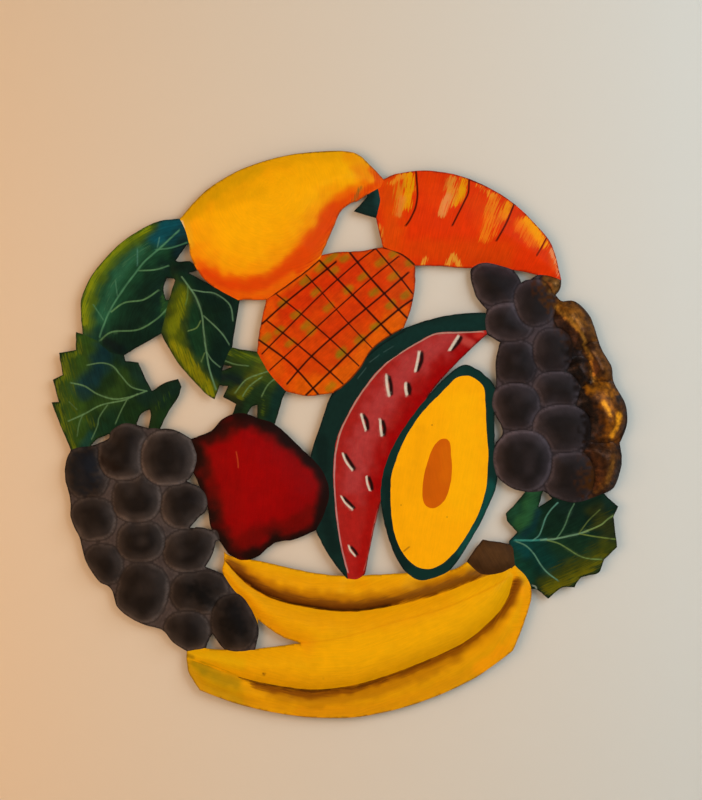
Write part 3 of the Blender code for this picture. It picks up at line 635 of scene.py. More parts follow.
RIND_WASHES = [
    ("0E302A", 0.6, 7, [(480, 322), (420, 332), (380, 352)]),
    ("081A16", 0.6, 6, [(322, 440), (320, 500), (335, 550)]),
]
RIND_LINES = [
    ("3E5A54", 0.5, 0.5, [(358, 378), (366, 368)]),
    ("3E5A54", 0.5, 0.5, [(370, 362), (378, 356)]),
    ("3E5A54", 0.4, 0.5, [(384, 352), (392, 347)]),
    ("050A08", 0.6, 0.8, [(330, 398), (344, 382), (360, 364), (380, 346), (404, 331)]),
]
FLESH_WASHES = [
    ("AC3A38", 0.85, 13, [(446, 342), (408, 366), (378, 408), (360, 450), (354, 490)]),
    ("960000", 1.0, 16, [(480, 344), (447, 374), (418, 408), (396, 448), (382, 487)]),
    ("A81C16", 0.7, 9, [(352, 500), (354, 540), (356, 575)]),
    ("9C0400", 0.75, 7, [(374, 500), (369, 535), (362, 570)]),
    ("C04A40", 0.7, 4, [(462, 338), (470, 343)]),
    ("C83428", 0.6, 4, [(478, 335), (486, 333)]),
]
FLESH_DRY = [
    ("B44A40", 0.3, 10, [(440, 343), (405, 364), (374, 404), (352, 455)]),
    ("860000", 0.4, 7, [(444, 386), (414, 425), (394, 468), (380, 510)]),
]
# Start of each seed, its middle and its end, with the white touch's half width
SEEDS = [
    ((458.2, 336.4), (454.6, 342), (449.6, 350), 1.7), ((419.0, 352.4), (417.5, 361), (415.3, 371), 1.6),
    ((386.3, 375.7), (386.9, 385), (389.0, 395.3), 1.6), ((405.7, 383.4), (405.6, 389), (406.8, 394.6), 1.8),
    ((361.2, 414.5), (363, 421), (365.6, 429.7), 1.4), ((380.2, 420.2), (380.6, 428), (381.7, 435.6), 1.5),
    ((342.8, 453.6), (346.2, 462), (352, 469.5), 1.3), ((366.4, 476.6), (367.3, 483.4), (369.8, 490.2), 1.3),
    ((341.4, 496.6), (345.4, 503), (351.8, 508.8), 1.1), ((348.8, 546), (350.6, 550.6), (354.6, 555.2), 1.1),
]
SEED_LINES = []
for start, middle, end, half_width in SEEDS:
    SEED_LINES.append(("120604", 0.97, half_width + 0.5, [
        (start[0] + 2.6, start[1] + 1.2), (middle[0] + 4.0, middle[1]), (end[0] + 2.2, end[1] - 1.0)]))
for start, middle, end, half_width in SEEDS:
    SEED_LINES.append(("D6CEB8", 0.95, half_width * 0.8, [start, middle, end]))
FLESH_LINES = [
    ("B8907E", 0.85, 0.8, [(482, 331.5), (458.7, 332.6), (436, 333.8), (420, 341.5), (404, 350.8),
                           (385.6, 364), (366, 386.5), (353, 406.5), (341, 430.5), (335.3, 454)]),
    ("BE8A84", 0.85, 0.8, [(335.3, 454), (334.2, 480.7), (336.5, 513), (341, 545), (347.7, 571.7)]),
    ("A85A4E", 0.6, 0.6, [(364, 570), (369, 552), (373, 529), (378, 509)]),
] + SEED_LINES
melon_paint = varnished_paint("melon_paint", 0.55, 0.05, 0.10, 0.20, 0.8, 5.0)
melon_run = around(560, 480, 200)
rind = add_form(MELON, 0, LEAF_SHOULDER, melon_paint, painter("0E2822", RIND_WASHES, [], RIND_LINES, 410),
                melon_run, RIND_LINES)
add_form(MELON_FLESH, 0, LEAF_SHOULDER, melon_paint,
         painter("9E1E18", FLESH_WASHES, FLESH_DRY, FLESH_LINES, 420), melon_run, FLESH_LINES, flat_on=rind)


# Halved avocado. Also flat: a dark teal skin round clear yellow flesh, with an orange stone.
AVOCADO = [
    (464, 365), (448, 375), (424, 401), (400, 434), (384, 469), (381, 503), (389, 540), (401, 566),
    (416, 579), (433, 578), (452, 568), (473, 536), (487, 509), (497, 482), (495, 456), (494.5, 430),
    (495, 402), (496, 390), (491, 381), (478, 370),
]
AVOCADO_FLESH = [
    (464, 375.7), (469.3, 376), (474.7, 378.3), (480, 382.7), (483.7, 387.3), (485, 394),
    (485.6, 410), (486.7, 430), (488, 450), (488, 463), (486.7, 483), (484, 496.7), (478.7, 512.7),
    (472, 526), (460, 545), (447, 560), (436, 567), (426, 569), (416, 566), (405, 556), (397, 541),
    (393, 526), (391, 510), (390.7, 490), (391.3, 476.7), (394.7, 464.7), (398.7, 452.7),
    (404, 440.7), (410.7, 428.7), (418.7, 416.7), (428, 406), (437.3, 396.7), (446.7, 387.3),
    (453.3, 380), (458.7, 376.7),
]
AVOCADO_STONE = [
    (444.7, 438.7), (448, 440), (450, 444.7), (451.7, 463), (451.7, 472.7), (450.4, 483.3),
    (448, 492.7), (444, 500.7), (437.3, 506.7), (431.3, 508), (425.3, 505.3), (422.7, 499.3),
    (422.4, 490), (423.3, 479.3), (426, 467.3), (429.3, 456.7), (433.3, 447.3), (439.3, 440),
]
SKIN_WASHES = [
    ("0E4A42", 0.85, 6, [(490, 486), (488, 506), (478, 527), (462, 553)]),
    ("103430", 0.5, 5, [(400, 445), (430, 402), (460, 372)]),
    ("081A16", 0.6, 6, [(388, 480), (388, 530), (405, 565)]),
]
AVOCADO_WASHES = [
    ("FEB800", 0.6, 18, [(462, 405), (466, 450), (462, 500)]),
    ("F0A400", 0.5, 7, [(421, 432), (416, 460), (413, 490)]),
    ("F2A600", 0.5, 6, [(398, 470), (396, 510), (408, 550)]),
]
AVOCADO_SPECKS = [
    ("A86C08", 0.75, 0.9, [(432, 425)]), ("A86C08", 0.65, 0.8, [(401, 505)]),
    ("A86C08", 0.65, 0.8, [(447, 517)]), ("9A6208", 0.7, 0.8, [(404, 551), (409, 547)]),
]
STONE_WASHES = [
    ("D66A00", 0.6, 6, [(446, 450), (446, 480)]),
    ("C05800", 0.5, 5, [(428, 470), (427, 495)]),
]
avocado_paint = varnished_paint("avocado_paint", 0.52, 0.03, 0.03, 0.16)
skin = add_form(AVOCADO, 0, LEAF_SHOULDER, avocado_paint, painter("0C2E28", SKIN_WASHES, [], [], 510),
                straight(100))
add_form(AVOCADO_FLESH, 0, LEAF_SHOULDER, avocado_paint,
         painter("FCAE00", AVOCADO_WASHES, [], AVOCADO_SPECKS, 520), straight(100), AVOCADO_SPECKS,
         flat_on=skin)
add_form(AVOCADO_STONE, 0, LEAF_SHOULDER, avocado_paint, painter("CC5E00", STONE_WASHES, [], [], 530),
         straight(80), flat_on=skin)


# Pineapple. A low dome in red orange with olive dabs in its diamonds, under a lattice of thin dark
# brown lines drawn freehand in two directions.
PINEAPPLE = [
    (312, 258, 1), (335, 252.5), (360, 251), (383, 247, 1), (402, 254), (415, 264, 1), (415, 285),
    (411, 308), (404, 328, 1), (385, 339), (370, 352), (359, 370), (345, 385), (333, 393, 1),
    (308, 396), (287, 392, 1), (270, 374), (257, 352, 1), (260, 328), (267, 296, 1), (285, 275, 1),
]
PINEAPPLE_RISE = 5
PINEAPPLE_SHOULDER = 40
OLIVE_DABS = [
    (333, 256), (305, 281), (316, 292), (348, 290), (363, 276), (374, 292), (393, 276), (406, 295),
    (296, 315), (329, 307), (306, 325), (279, 330), (290, 343), (359, 340), (342, 351), (394, 253),
    (410, 262), (380, 262), (391, 304), (376, 325), (312, 330), (266, 337), (341, 354), (325, 262),
    (345, 258), (319, 268), (334, 270), (330, 386), (283, 302),
]
LATTICE_LINES = [
    ("240500", 0.97, 1.0, [(262, 324), (288, 301), (314, 280), (336, 262)]),
    ("260600", 0.92, 0.8, [(262, 354), (284, 332), (322, 294), (358, 262), (375, 249)]),
    ("260600", 0.92, 0.75, [(270, 370), (299, 344), (336, 310), (371, 279), (398, 257)]),
    ("260600", 0.95, 1.0, [(287, 384), (312, 356), (348, 324), (384, 294), (408, 273)]),
    ("240500", 0.97, 1.1, [(306, 395), (330, 372), (363, 340), (398, 310), (412, 300)]),
    ("240500", 0.97, 1.05, [(259, 340), (284, 358), (299, 372), (318, 394)]),
    ("260600", 0.95, 0.9, [(266, 320), (298, 345), (330, 372), (343, 384)]),
    ("260600", 0.92, 0.8, [(276, 294), (301, 314), (330, 339), (359, 366)]),
    ("260600", 0.9, 0.7, [(306, 275), (323, 294), (348, 323), (372, 348)]),
    ("240500", 0.97, 1.1, [(320, 261), (338, 280), (367, 310), (391, 335)]),
    ("240500", 0.97, 1.1, [(350, 253), (371, 279), (399, 310), (407, 318)]),
    ("260600", 0.95, 0.9, [(376, 249), (401, 279), (412, 293)]),
    ("240600", 0.9, 1.0, [(267.5, 297.5), (278, 292), (303, 273.8), (319, 260.5)]),
    ("1E0600", 0.92, 1.2, [(384, 247.8), (393, 250.2), (404, 255.8), (414, 264.4)]),
    ("240600", 0.8, 0.9, [(403, 328.5), (386, 338), (371, 350.5), (360, 368), (346, 383.5), (334, 392)]),
]
PINEAPPLE_WASHES = [
    ("DC6200", 0.75, 12, [(300, 388), (335, 386), (368, 350), (400, 320)]),
    ("CA2C00", 0.75, 14, [(290, 312), (320, 290), (350, 270)]),
    ("CA3000", 0.65, 12, [(330, 330), (365, 300), (380, 280)]),
    ("DC5C00", 0.6, 8, [(270, 310), (266, 345), (280, 372)]),
    ("D86400", 0.6, 6, [(276, 290), (300, 272), (318, 262)]),
]
PINEAPPLE_WASHES += [("8A7206", 0.62, 3.6, [(x - 2, y + 2), (x + 2, y - 1)]) for x, y in OLIVE_DABS]
PINEAPPLE_DRY = [("86740A", 0.5, 4, [(x - 3, y + 2.5), (x + 2, y - 2)]) for x, y in OLIVE_DABS]
pineapple_paint = varnished_paint("pineapple_paint", 0.55, 0.07, 0.16, 0.20, 0.9, 8.0)
add_form(PINEAPPLE, PINEAPPLE_RISE, PINEAPPLE_SHOULDER, pineapple_paint,
         painter("CC4000", PINEAPPLE_WASHES, PINEAPPLE_DRY, LATTICE_LINES, 610), straight(-42),
         LATTICE_LINES)


# Mango. The largest dome, at the top left: clear yellow, olive along its upper edge, blushing to
# orange and red along the lower and right edges, with a rough olive brush mark at its neck.
MANGO = [
    (180, 219, 1), (199, 197), (220, 181), (250, 166), (290, 155), (335, 151), (357, 154),
    (370, 165), (384, 179.5, 1), (381, 187, 1), (370, 193), (358, 201), (352, 203), (341, 211), (332, 231),
    (320, 259, 1), (303, 273), (277, 292), (266, 300, 1), (238, 300, 1), (219, 290), (203, 278),
    (191, 257), (189, 244), (185, 229),
]
MANGO_RISE = 13
MANGO_SHOULDER = 45
MANGO_WASHES = [
    ("F8B000", 0.7, 26, [(225, 225), (265, 205), (310, 185), (338, 172)]),
    ("E2A200", 0.7, 8, [(186, 216), (205, 197), (232, 178), (262, 165), (300, 156), (340, 154)]),
    ("F09000", 0.8, 16, [(198, 262), (220, 278), (245, 284), (272, 276), (298, 254), (318, 228),
                         (334, 204)]),
    ("EA6A00", 0.85, 9, [(204, 274), (222, 288), (245, 296), (268, 292), (298, 268), (321, 240),
                         (334, 213), (350, 198), (370, 187)]),
    ("EC7A00", 0.8, 8, [(360, 172), (374, 178), (378, 184)]),
    ("F09400", 0.7, 7, [(350, 158), (364, 166), (376, 177)]),
    ("E0B020", 0.5, 4, [(186, 222), (190, 245)]),
    ("EA6000", 0.85, 8, [(201, 268), (220, 281), (246, 286), (270, 281), (297, 259), (317, 234), (331, 210),
                         (350, 197)]),
    ("DC4000", 0.85, 7, [(206, 275), (222, 284), (246, 287), (268, 282), (291, 266), (309, 247),
                         (322, 228), (334, 208)]),
    ("E45400", 0.8, 4.5, [(204, 278), (218, 291), (240, 299), (266, 299), (286, 287), (304, 273),
                          (318, 262)]),
    ("DE4400", 0.85, 5.5, [(298, 270), (316, 252), (328, 231), (338, 210), (352, 200)]),
    ("E04400", 0.85, 5, [(356, 198), (370, 191), (380, 184), (380, 178)]),
    ("E65800", 0.75, 4, [(352, 203), (366, 194), (380, 188), (381, 180), (372, 170)]),
    ("CE9C00", 0.6, 8, [(188, 216), (204, 199), (230, 183), (256, 172)]),
    ("CE9A00", 0.35, 8, [(222, 203), (243, 193), (262, 194)]),
]
MANGO_DRY = [
    ("E65C00", 0.5, 6, [(216, 277), (248, 281), (272, 274), (294, 256), (312, 234), (326, 210)]),
    ("D83A00", 0.6, 5, [(298, 274), (319, 255), (331, 230), (340, 211),
                        (354, 201), (370, 192)]),
    ("DC4800", 0.8, 4.5, [(374, 172), (379, 182), (366, 190)]),
    ("6E6420", 0.85, 2.4, [(360, 188), (356, 196), (352, 204)]),
]
MANGO_LINES = [
    ("6A6420", 0.5, 0.8, [(361, 188), (357, 196), (353, 204)]),
    ("E8D2A0", 0.85, 1.6, [(181.6, 222), (183.4, 228)]),
    ("E8D2A0", 0.8, 0.9, [(186, 236), (187, 240)]),
    ("5A3A00", 0.5, 0.7, [(200, 196), (220, 180.5), (250, 166), (290, 155), (335, 151.5)]),
]
mango_paint = varnished_paint("mango_paint", 0.55, 0.04, 0.04, 0.16, 0.85)
add_form(MANGO, MANGO_RISE, MANGO_SHOULDER, mango_paint,
         painter("F6A800", MANGO_WASHES, MANGO_DRY, MANGO_LINES, 710, ("2A1404", 0.65, 1.4)),
         around(272, 192, 90), MANGO_LINES)


# Pomegranate. A full dome in deep red, its edge rubbed with brown black all round.
POMEGRANATE = [
    (190, 439, 1), (211, 431), (224, 418), (241, 413), (258, 418), (276, 425), (300, 447),
    (321, 469), (329, 490), (325, 512), (316, 530, 1), (296, 539), (275, 543), (257, 557),
    (242, 560), (229, 554), (221, 543), (211, 527), (207, 505), (200, 487), (192, 470), (184, 452),
]
POMEGRANATE_RISE = 12
POMEGRANATE_SHOULDER = 45
POMEGRANATE_WASHES = [
    ("960000", 0.7, 24, [(250, 455), (265, 485), (258, 505)]),
    ("5E0600", 0.8, 9, [(198, 455), (210, 485), (218, 525)]),
    ("2A0A04", 0.9, 9, [(192, 442), (215, 434), (240, 418), (262, 422), (290, 442)]),
    ("2A0A04", 0.8, 6, [(298, 448), (318, 470), (327, 492), (322, 514)]),
    ("180A06", 0.9, 6, [(220, 540), (236, 553), (252, 556)]),
    ("220A04", 0.85, 5, [(258, 552), (276, 541), (300, 536), (318, 526)]),
    ("5E0600", 0.7, 9, [(236, 545), (262, 532), (290, 526), (312, 512)]),
]
POMEGRANATE_LINES = [("B8441E", 0.6, 0.7, [(237, 452), (238.5, 460), (239, 467)])]
pomegranate_paint = varnished_paint("pomegranate_paint", 0.60, 0.05, 0.07, 0.18)
add_form(POMEGRANATE, POMEGRANATE_RISE, POMEGRANATE_SHOULDER, pomegranate_paint,
         painter("880000", POMEGRANATE_WASHES, [], POMEGRANATE_LINES, 810, ("0E0604", 0.85, 2.0),
                 ("1A0804", 0.97, 0.5, 17)), straight(95), POMEGRANATE_LINES)


# Two bunches of grapes. Each grape is a small dome on the swell of its bunch, brown black with a
# greyish bloom, a thin light rim and a wide soft haze, the bloom painted stronger on the side towards
# the light as a painted highlight. The right bunch's outer grapes are painted brown with gold streaks,
# a painted reflection of warm lamp light, under a metallic varnish that also catches the light there.
BUNCH_LEFT = [
    (71, 450, 1), (65, 471), (70.5, 500), (71, 518), (80, 539), (86, 561), (99, 581), (111, 588.5),
    (118.5, 608), (139, 622.5), (162, 630), (173.5, 642.5), (187, 651, 1), (206.5, 648, 1), (208.5, 640),
    (212.5, 634, 1), (217, 640), (224.5, 649.5, 1), (238, 651.5), (255, 649.5, 1), (258.5, 627),
    (247, 602), (234, 590), (223, 573.5, 1), (205.5, 566.5, 1), (213, 553), (216, 541.5, 1),
    (220, 540, 1), (217, 531), (208.5, 529, 1), (190, 527.5, 1), (199, 517), (206.5, 510),
    (206.5, 496), (198.5, 486.5, 1), (186, 480.5, 1), (194, 471), (196.5, 455), (190.5, 438, 1),
    (174, 429.5), (160.5, 428.5, 1), (148.5, 428, 1), (126, 423), (112, 430), (108, 439),
    (91, 446, 1), (80, 447),
]
BUNCH_RIGHT = [
    (470.5, 271), (484, 263), (503, 266.5), (514, 270, 1), (520, 285, 1), (529, 280), (537, 275, 1),
    (548, 275.5), (561, 280, 1), (560, 289), (555.5, 295, 1), (562, 301), (575, 301.5), (589, 315),
    (596, 333), (601, 348), (611, 366), (614, 383), (625, 404), (627, 424), (619.5, 443, 1),
    (621.5, 463), (614, 487), (598, 495.5), (575, 502.5), (556, 498), (543, 491, 1), (527, 492),
    (511, 487.5), (497, 476), (493, 457), (495.5, 443, 1), (502.5, 433), (500.5, 425, 1), (492, 404),
    (496.5, 384, 1), (495.5, 362), (500, 342.5, 1), (487, 334.5, 1), (485, 322), (486.5, 309.5, 1),
    (476, 296),
]
# Centre x and y, half width, half height, turn in degrees, and how strong the bloom is on the rim
GRAPES_LEFT = [
    (88, 472, 23, 27, 0, 0.35), (93.5, 518.5, 24, 22, 0, 0.55), (103.5, 564, 21, 21, 0, 0.45),
    (200, 592, 29.5, 22, 0, 0.4), (187, 631, 23.5, 21, 0, 0.5), (234.5, 622.5, 23.5, 29, 0, 0.3),
    (143, 592, 26, 31, 15, 0.55), (192, 549.5, 28.5, 22, -8, 0.6), (141.5, 540.5, 24, 21, 0, 0.6),
    (184.5, 506, 23, 23, 0, 0.6), (137.5, 498, 24.5, 24, 0, 0.65), (124, 451.5, 25.5, 28.5, 0, 0.6),
    (169, 457.5, 27.5, 28, 0, 1.0),
]
GRAPES_RIGHT = [
    (550, 286, 13, 12, 0, 0.1), (576, 324, 20, 28, -30, 0.1), (597, 366, 15, 24, -20, 0.1),
    (577, 377, 14, 21, 0, 0.1), (601, 467, 21, 28, 0, 0.1), (600, 412, 28, 31, 0, 0.15),
    (569, 477, 25, 26, 0, 0.5), (515, 363, 21, 23, 0, 0.45), (552, 351, 20, 23, 0, 0.45),
    (495, 285, 26, 21.5, 25, 0.6), (509.5, 322, 24.5, 19.5, 0, 0.7), (534, 303, 20, 24, -15, 0.55),
    (555, 390, 23.5, 18.5, 0, 0.65), (515, 406.5, 24.5, 23.5, 0, 0.65), (561, 428.5, 29, 24, 0, 0.7),
    (522, 461, 29, 31, 0, 0.9),
]
GRAPE_RISE = 9
GRAPE_SHOULDER = 18
GRAPE_SQUARENESS = 2.4
BUNCH_RISE = 8
BUNCH_SHOULDER = 45
LEFT_TOUCHES = [
    ("14181E", 0.7, 14, [(84, 462), (86, 482)]),
    ("0A0806", 0.7, 7, [(196, 588), (212, 600)]),
    ("0A0806", 0.6, 10, [(238, 625), (232, 612)]),
    ("1A0E06", 0.6, 6, [(104, 460), (116, 468)]),
]
# The right bunch's outer grapes: brown paint with gold and orange streaks, a painted reflection of warm lamp
# light on their turned-back edges.
PAINTED_WARM_REFLECTION = [
    ("482606", 0.95, 17, [(553, 284), (574, 318), (590, 350), (600, 385), (610, 420), (607, 460),
                          (596, 484)]),
    ("140A04", 0.9, 9, [(572, 352), (580, 378), (586, 400), (590, 420), (586, 440)]),
    ("2A160A", 0.8, 7, [(560, 318), (572, 344)]),
    ("7A5020", 0.85, 5, [(546, 281), (555, 283), (552, 291)]),
    ("865010", 0.85, 7, [(562, 306), (573, 310), (580, 322)]),
    ("6E4212", 0.8, 6, [(590, 322), (596, 338)]),
    ("B07626", 0.8, 2.2, [(556, 308), (566, 318), (577, 330), (584, 342)]),
    ("A06A1E", 0.8, 2.2, [(584, 346), (590, 360), (593, 380)]),
    ("6A3E10", 0.8, 6, [(600, 352), (607, 368), (609, 380)]),
    ("A05E08", 0.85, 6, [(590, 390), (600, 385), (611, 392)]),
    ("7E4402", 0.85, 9, [(602, 400), (612, 416), (611, 436)]),
    ("D88810", 0.7, 2.2, [(602, 402), (608, 414)]),
    ("F09A14", 0.9, 2.8, [(618, 414), (616, 428), (610, 436)]),
    ("3A1E08", 0.9, 12, [(594, 452), (606, 468), (600, 486)]),
    ("6A3E0E", 0.7, 3.6, [(612, 458), (608, 478), (597, 490)]),
    ("986220", 0.6, 2.0, [(612, 462), (606, 482)]),
]
grape_paint = varnished_paint("grape_paint", 0.62, 0.05, 0.14, 0.25)
# A metallic varnish over the painted reflection on the right bunch's outer grapes.
painted_reflection_varnish = varnished_paint("painted_reflection_varnish", 0.38, 0.10, 0.55, 1.0, 0.5, 5.0, 0.55, 0.2)


def grape_outline(x, y, half_width, half_height, turn):
    """Gives a grape's outline: an ellipse that the straight chisel cuts leave slightly square."""
    angle = np.linspace(0, 2 * math.pi, 49)[:-1]
    power = 2 / GRAPE_SQUARENESS
    across = half_width * np.sign(np.cos(angle)) * np.abs(np.cos(angle)) ** power
    down = half_height * np.sign(np.sin(angle)) * np.abs(np.sin(angle)) ** power
    c = math.cos(math.radians(turn))
    s = math.sin(math.radians(turn))
    return list(zip(x + c * across - s * down, y + s * across + c * down))


BLOOM_RIM = 0.65
BLOOM_RIM_WIDTH = 4.5
BLOOM_HAZE = 0.42
BLOOM_HAZE_WIDTH = 14
BLOOM_MIST = 0.16
CREASE_PAINT = "0A0705"


def grape_painter(base, rim, bloom, centre, light_side, touches, seed):
    """Makes the painter of one grape; its bloom is painted stronger on the side that faces the light, a
    painted highlight.
    """
    def paint(x, y, cut, border):
        dark = np.tile(colour(base), (len(x), 1))
        # Painted highlight: the bloom grows lighter on the side of the grape towards the light.
        side = (x - centre[0]) * light_side[0] + (y - centre[1]) * light_side[1]
        painted_light_facing = 0.6 + 0.4 * fade(side, -14, 14)
        round_rim = border + (grain(x, y, 9, seed) - 0.5) * 3
        thin_rim = BLOOM_RIM * (1 - fade(round_rim, 0.5, BLOOM_RIM_WIDTH))
        haze = BLOOM_HAZE * (1 - fade(round_rim, 1, BLOOM_HAZE_WIDTH))
        cover = bloom * painted_light_facing * (thin_rim + haze)
        cover += BLOOM_MIST * np.clip(grain(x, y, 12, seed + 1) - 0.45, 0, 1)
        dark += (colour(rim) - dark) * cover[:, None]
        for number, (code, strength, half_width, points) in enumerate(touches):
            ragged = (grain(x, y, 3.2, seed + 2 + number) - 0.5) * half_width * 1.2
            cover = strength * (1 - fade(from_line(x, y, points) + ragged, half_width * 0.3,
                                         half_width * 1.4))
            dark += (colour(code) - dark) * cover[:, None]
        crease = 0.55 * (1 - fade(border, 0, 1.1)) + 0.5 * (1 - fade(cut, 0, 1.8))
        dark += (colour(CREASE_PAINT) - dark) * np.clip(crease, 0, 0.9)[:, None]
        return dark, dark, np.zeros(len(x))
    return paint


# The pair after each bunch's colours points towards the light, for the painted highlight on the bloom.
for bunch_outline, grapes, base, rim, web, light_side, touches, seed in [
        (BUNCH_LEFT, GRAPES_LEFT, "1B1511", "70625A", "382F2C", (0.5, 0.85), LEFT_TOUCHES, 910),
        (BUNCH_RIGHT, GRAPES_RIGHT, "1E1918", "64585C", "362E30", (-0.75, -0.65), PAINTED_WARM_REFLECTION, 950)]:
    bunch = len(forms)
    add_form(bunch_outline, 0, GRAPE_SHOULDER, grape_paint,
             grape_painter(web, rim, 0.3, (340, 434), (0, 0), touches, seed), straight(60), bunch=bunch)
    for number, (x, y, half_width, half_height, turn, bloom) in enumerate(grapes):
        # The right bunch's first six grapes take the varnish with the painted reflection.
        finish = painted_reflection_varnish if grapes is GRAPES_RIGHT and number < 6 else grape_paint
        add_form(grape_outline(x, y, half_width, half_height, turn), GRAPE_RISE, GRAPE_SHOULDER, finish,
                 grape_painter(base, rim, bloom, (x, y), light_side, touches, seed), straight(60), bunch=bunch)


# The sheet. One round of 1.2 mm steel: the outline of every form is chiselled with short straight
# blows, the sheet is hammered out from behind, and the cut edges and the back stay plain dark steel.
PATTERN_CENTRE = (340, 434)
THICKNESS = 1.2
CHISEL_STEP = 1.5
CHISEL_WANDER = 0.28
PAINTED_FACET = 1.9
BACK_FACET = 5.5
SMALLEST_CUT = 20
OPEN = -1


def ring_of(outline, seed):
    """Follows an outline as the chisel does, in short steps that wander a little."""
    corners = [i for i, point in enumerate(outline) if len(point) == 3]
    if corners:
        stretches = []
        for first, last in zip(corners, corners[1:] + [corners[0] + len(outline)]):
            stretch = [outline[i % len(outline)] for i in range(first, last + 1)]
            stretches.append(curve_through(stretch, False, 12))
    else:
        loop = curve_through(outline, True, 12)
        stretches = [np.vstack([loop, loop[:1]])]
    ring = []
    for stretch in stretches:
        run = np.concatenate([[0], np.cumsum(np.hypot(*np.diff(stretch, axis=0).T))])
        count = max(1, round(run[-1] / CHISEL_STEP))
        at = np.linspace(0, run[-1], count, endpoint=False)
        ring.append(np.column_stack([np.interp(at, run, stretch[:, 0]), np.interp(at, run, stretch[:, 1])]))
    ring = np.vstack(ring)
    ring[:, 0] += (grain(ring[:, 0], ring[:, 1], 5, 31) - 0.5) * 2 * CHISEL_WANDER
    ring[:, 1] += (grain(ring[:, 0], ring[:, 1], 5, 37) - 0.5) * 2 * CHISEL_WANDER
    return ring


def inside(ring, places):
    """Says which places lie inside a ring."""
    low = ring.min(axis=0)
    high = ring.max(axis=0)
    near = np.flatnonzero(((places > low) & (places < high)).all(axis=1))
    x, y = places[near].T
    within = np.zeros(len(near), bool)
    for (x0, y0), (x1, y1) in zip(ring, np.roll(ring, -1, axis=0)):
        if y0 != y1:
            crosses = (y0 > y) != (y1 > y)
            within ^= crosses & (x < (x1 - x0) * (y - y0) / (y1 - y0) + x0)
    found = np.zeros(len(places), bool)
    found[near[within]] = True
    return found


def uppermost(places):
    """Gives each place the number of the uppermost form there, or OPEN."""
    found = np.full(len(places), OPEN)
    for number, form in enumerate(forms):
        covered = inside(form["ring"], places)
        for clip in (form["bunch"], form["flat_on"]):
            if clip not in (None, number):
                covered &= inside(forms[clip]["ring"], places) & (found != OPEN)
        found[covered] = number
    return found


def triangulate(places, links):
    """Joins places into triangles that keep every link, and says which sides the links became."""
    ends = [tuple(place) for place in places]
    points, sides, faces, _, sources, _ = delaunay_2d_cdt(ends, links, [], 0, 1e-5)
    linked = {tuple(sorted(side)) for side, source in zip(sides, sources) if source}
    triangles = np.array([face for face in faces if len(face) == 3])
    return np.array([tuple(point) for point in points]), triangles, linked


def side_pairs(triangles):
    """Lists every side once, with the two triangles beside it, or one and -1."""
    ends = np.sort(np.concatenate([triangles[:, [0, 1]], triangles[:, [1, 2]], triangles[:, [2, 0]]]), axis=1)
    beside = np.tile(np.arange(len(triangles)), 3)
    order = np.lexsort((ends[:, 1], ends[:, 0]))
    ends = ends[order]
    beside = beside[order]
    same = (ends[1:] == ends[:-1]).all(axis=1)
    first = np.concatenate([[True], ~same])
    sides = ends[first]
    one = beside[first]
    other = np.full(len(sides), -1)
    number = np.cumsum(first) - 1
    other[number[~first]] = beside[~first]
    return sides, one, other


def patches_of(triangles, walls):
    """Numbers the patches of triangles that no wall divides."""
    sides, one, other = side_pairs(triangles)
    walled = np.array([tuple(side) in walls for side in sides.tolist()])
    passes = ~walled & (other >= 0)
    patch = np.arange(len(triangles))
    a = one[passes]
    b = other[passes]
    while True:
        least = np.minimum(patch[a], patch[b])
        fresh = patch.copy()
        np.minimum.at(fresh, a, least)
        np.minimum.at(fresh, b, least)
        fresh = fresh[fresh]
        if (fresh == patch).all():
            return np.unique(patch, return_inverse=True)[1]
        patch = fresh


def owners_of(points, triangles, walls):
    """Gives every triangle the form of its patch, and closes slits too small for the chisel."""
    patch = patches_of(triangles, walls)
    corners = points[triangles]
    one = corners[:, 1] - corners[:, 0]
    other = corners[:, 2] - corners[:, 0]
    area = np.abs(one[:, 0] * other[:, 1] - one[:, 1] * other[:, 0]) / 2
    votes = uppermost(corners.mean(axis=1))
    tally = np.zeros((patch.max() + 1, len(forms) + 1))
    np.add.at(tally, (patch, votes + 1), area)
    owner_of_patch = tally.argmax(axis=1) - 1
    size = np.bincount(patch, weights=area)
    sides, left, right = side_pairs(triangles)
    shared = right >= 0
    for a, b in list(zip(patch[left[shared]], patch[right[shared]])):
        for here, there in ((a, b), (b, a)):
            if size[here] < SMALLEST_CUT <= size[there] and owner_of_patch[there] != OPEN:
                if owner_of_patch[here] == OPEN:
                    owner_of_patch[here] = owner_of_patch[there]
    return owner_of_patch[patch]


def nearest_to(places, points, sides):
    """Measures each place's distance from the nearest of some sides."""
    marks = np.vstack([points[sides[:, 0]] * (1 - t) + points[sides[:, 1]] * t
                       for t in (0, 0.25, 0.5, 0.75, 1)])
    tree = KDTree(len(marks))
    for number, (x, y) in enumerate(marks):
        tree.insert((x, y, 0), number)
    tree.balance()
    return np.array([tree.find((x, y, 0))[2] for x, y in places])


def lattice(facet, low, high):
    """Lays out places in rows, each row half a facet along from the last."""
    places = []
    for row, y in enumerate(np.arange(low[1], high[1], facet * math.sqrt(3) / 2)):
        shift = facet / 2 if row % 2 else 0
        places.append([(x, y) for x in np.arange(low[0] + shift, high[0], facet)])
    return np.vstack(places)


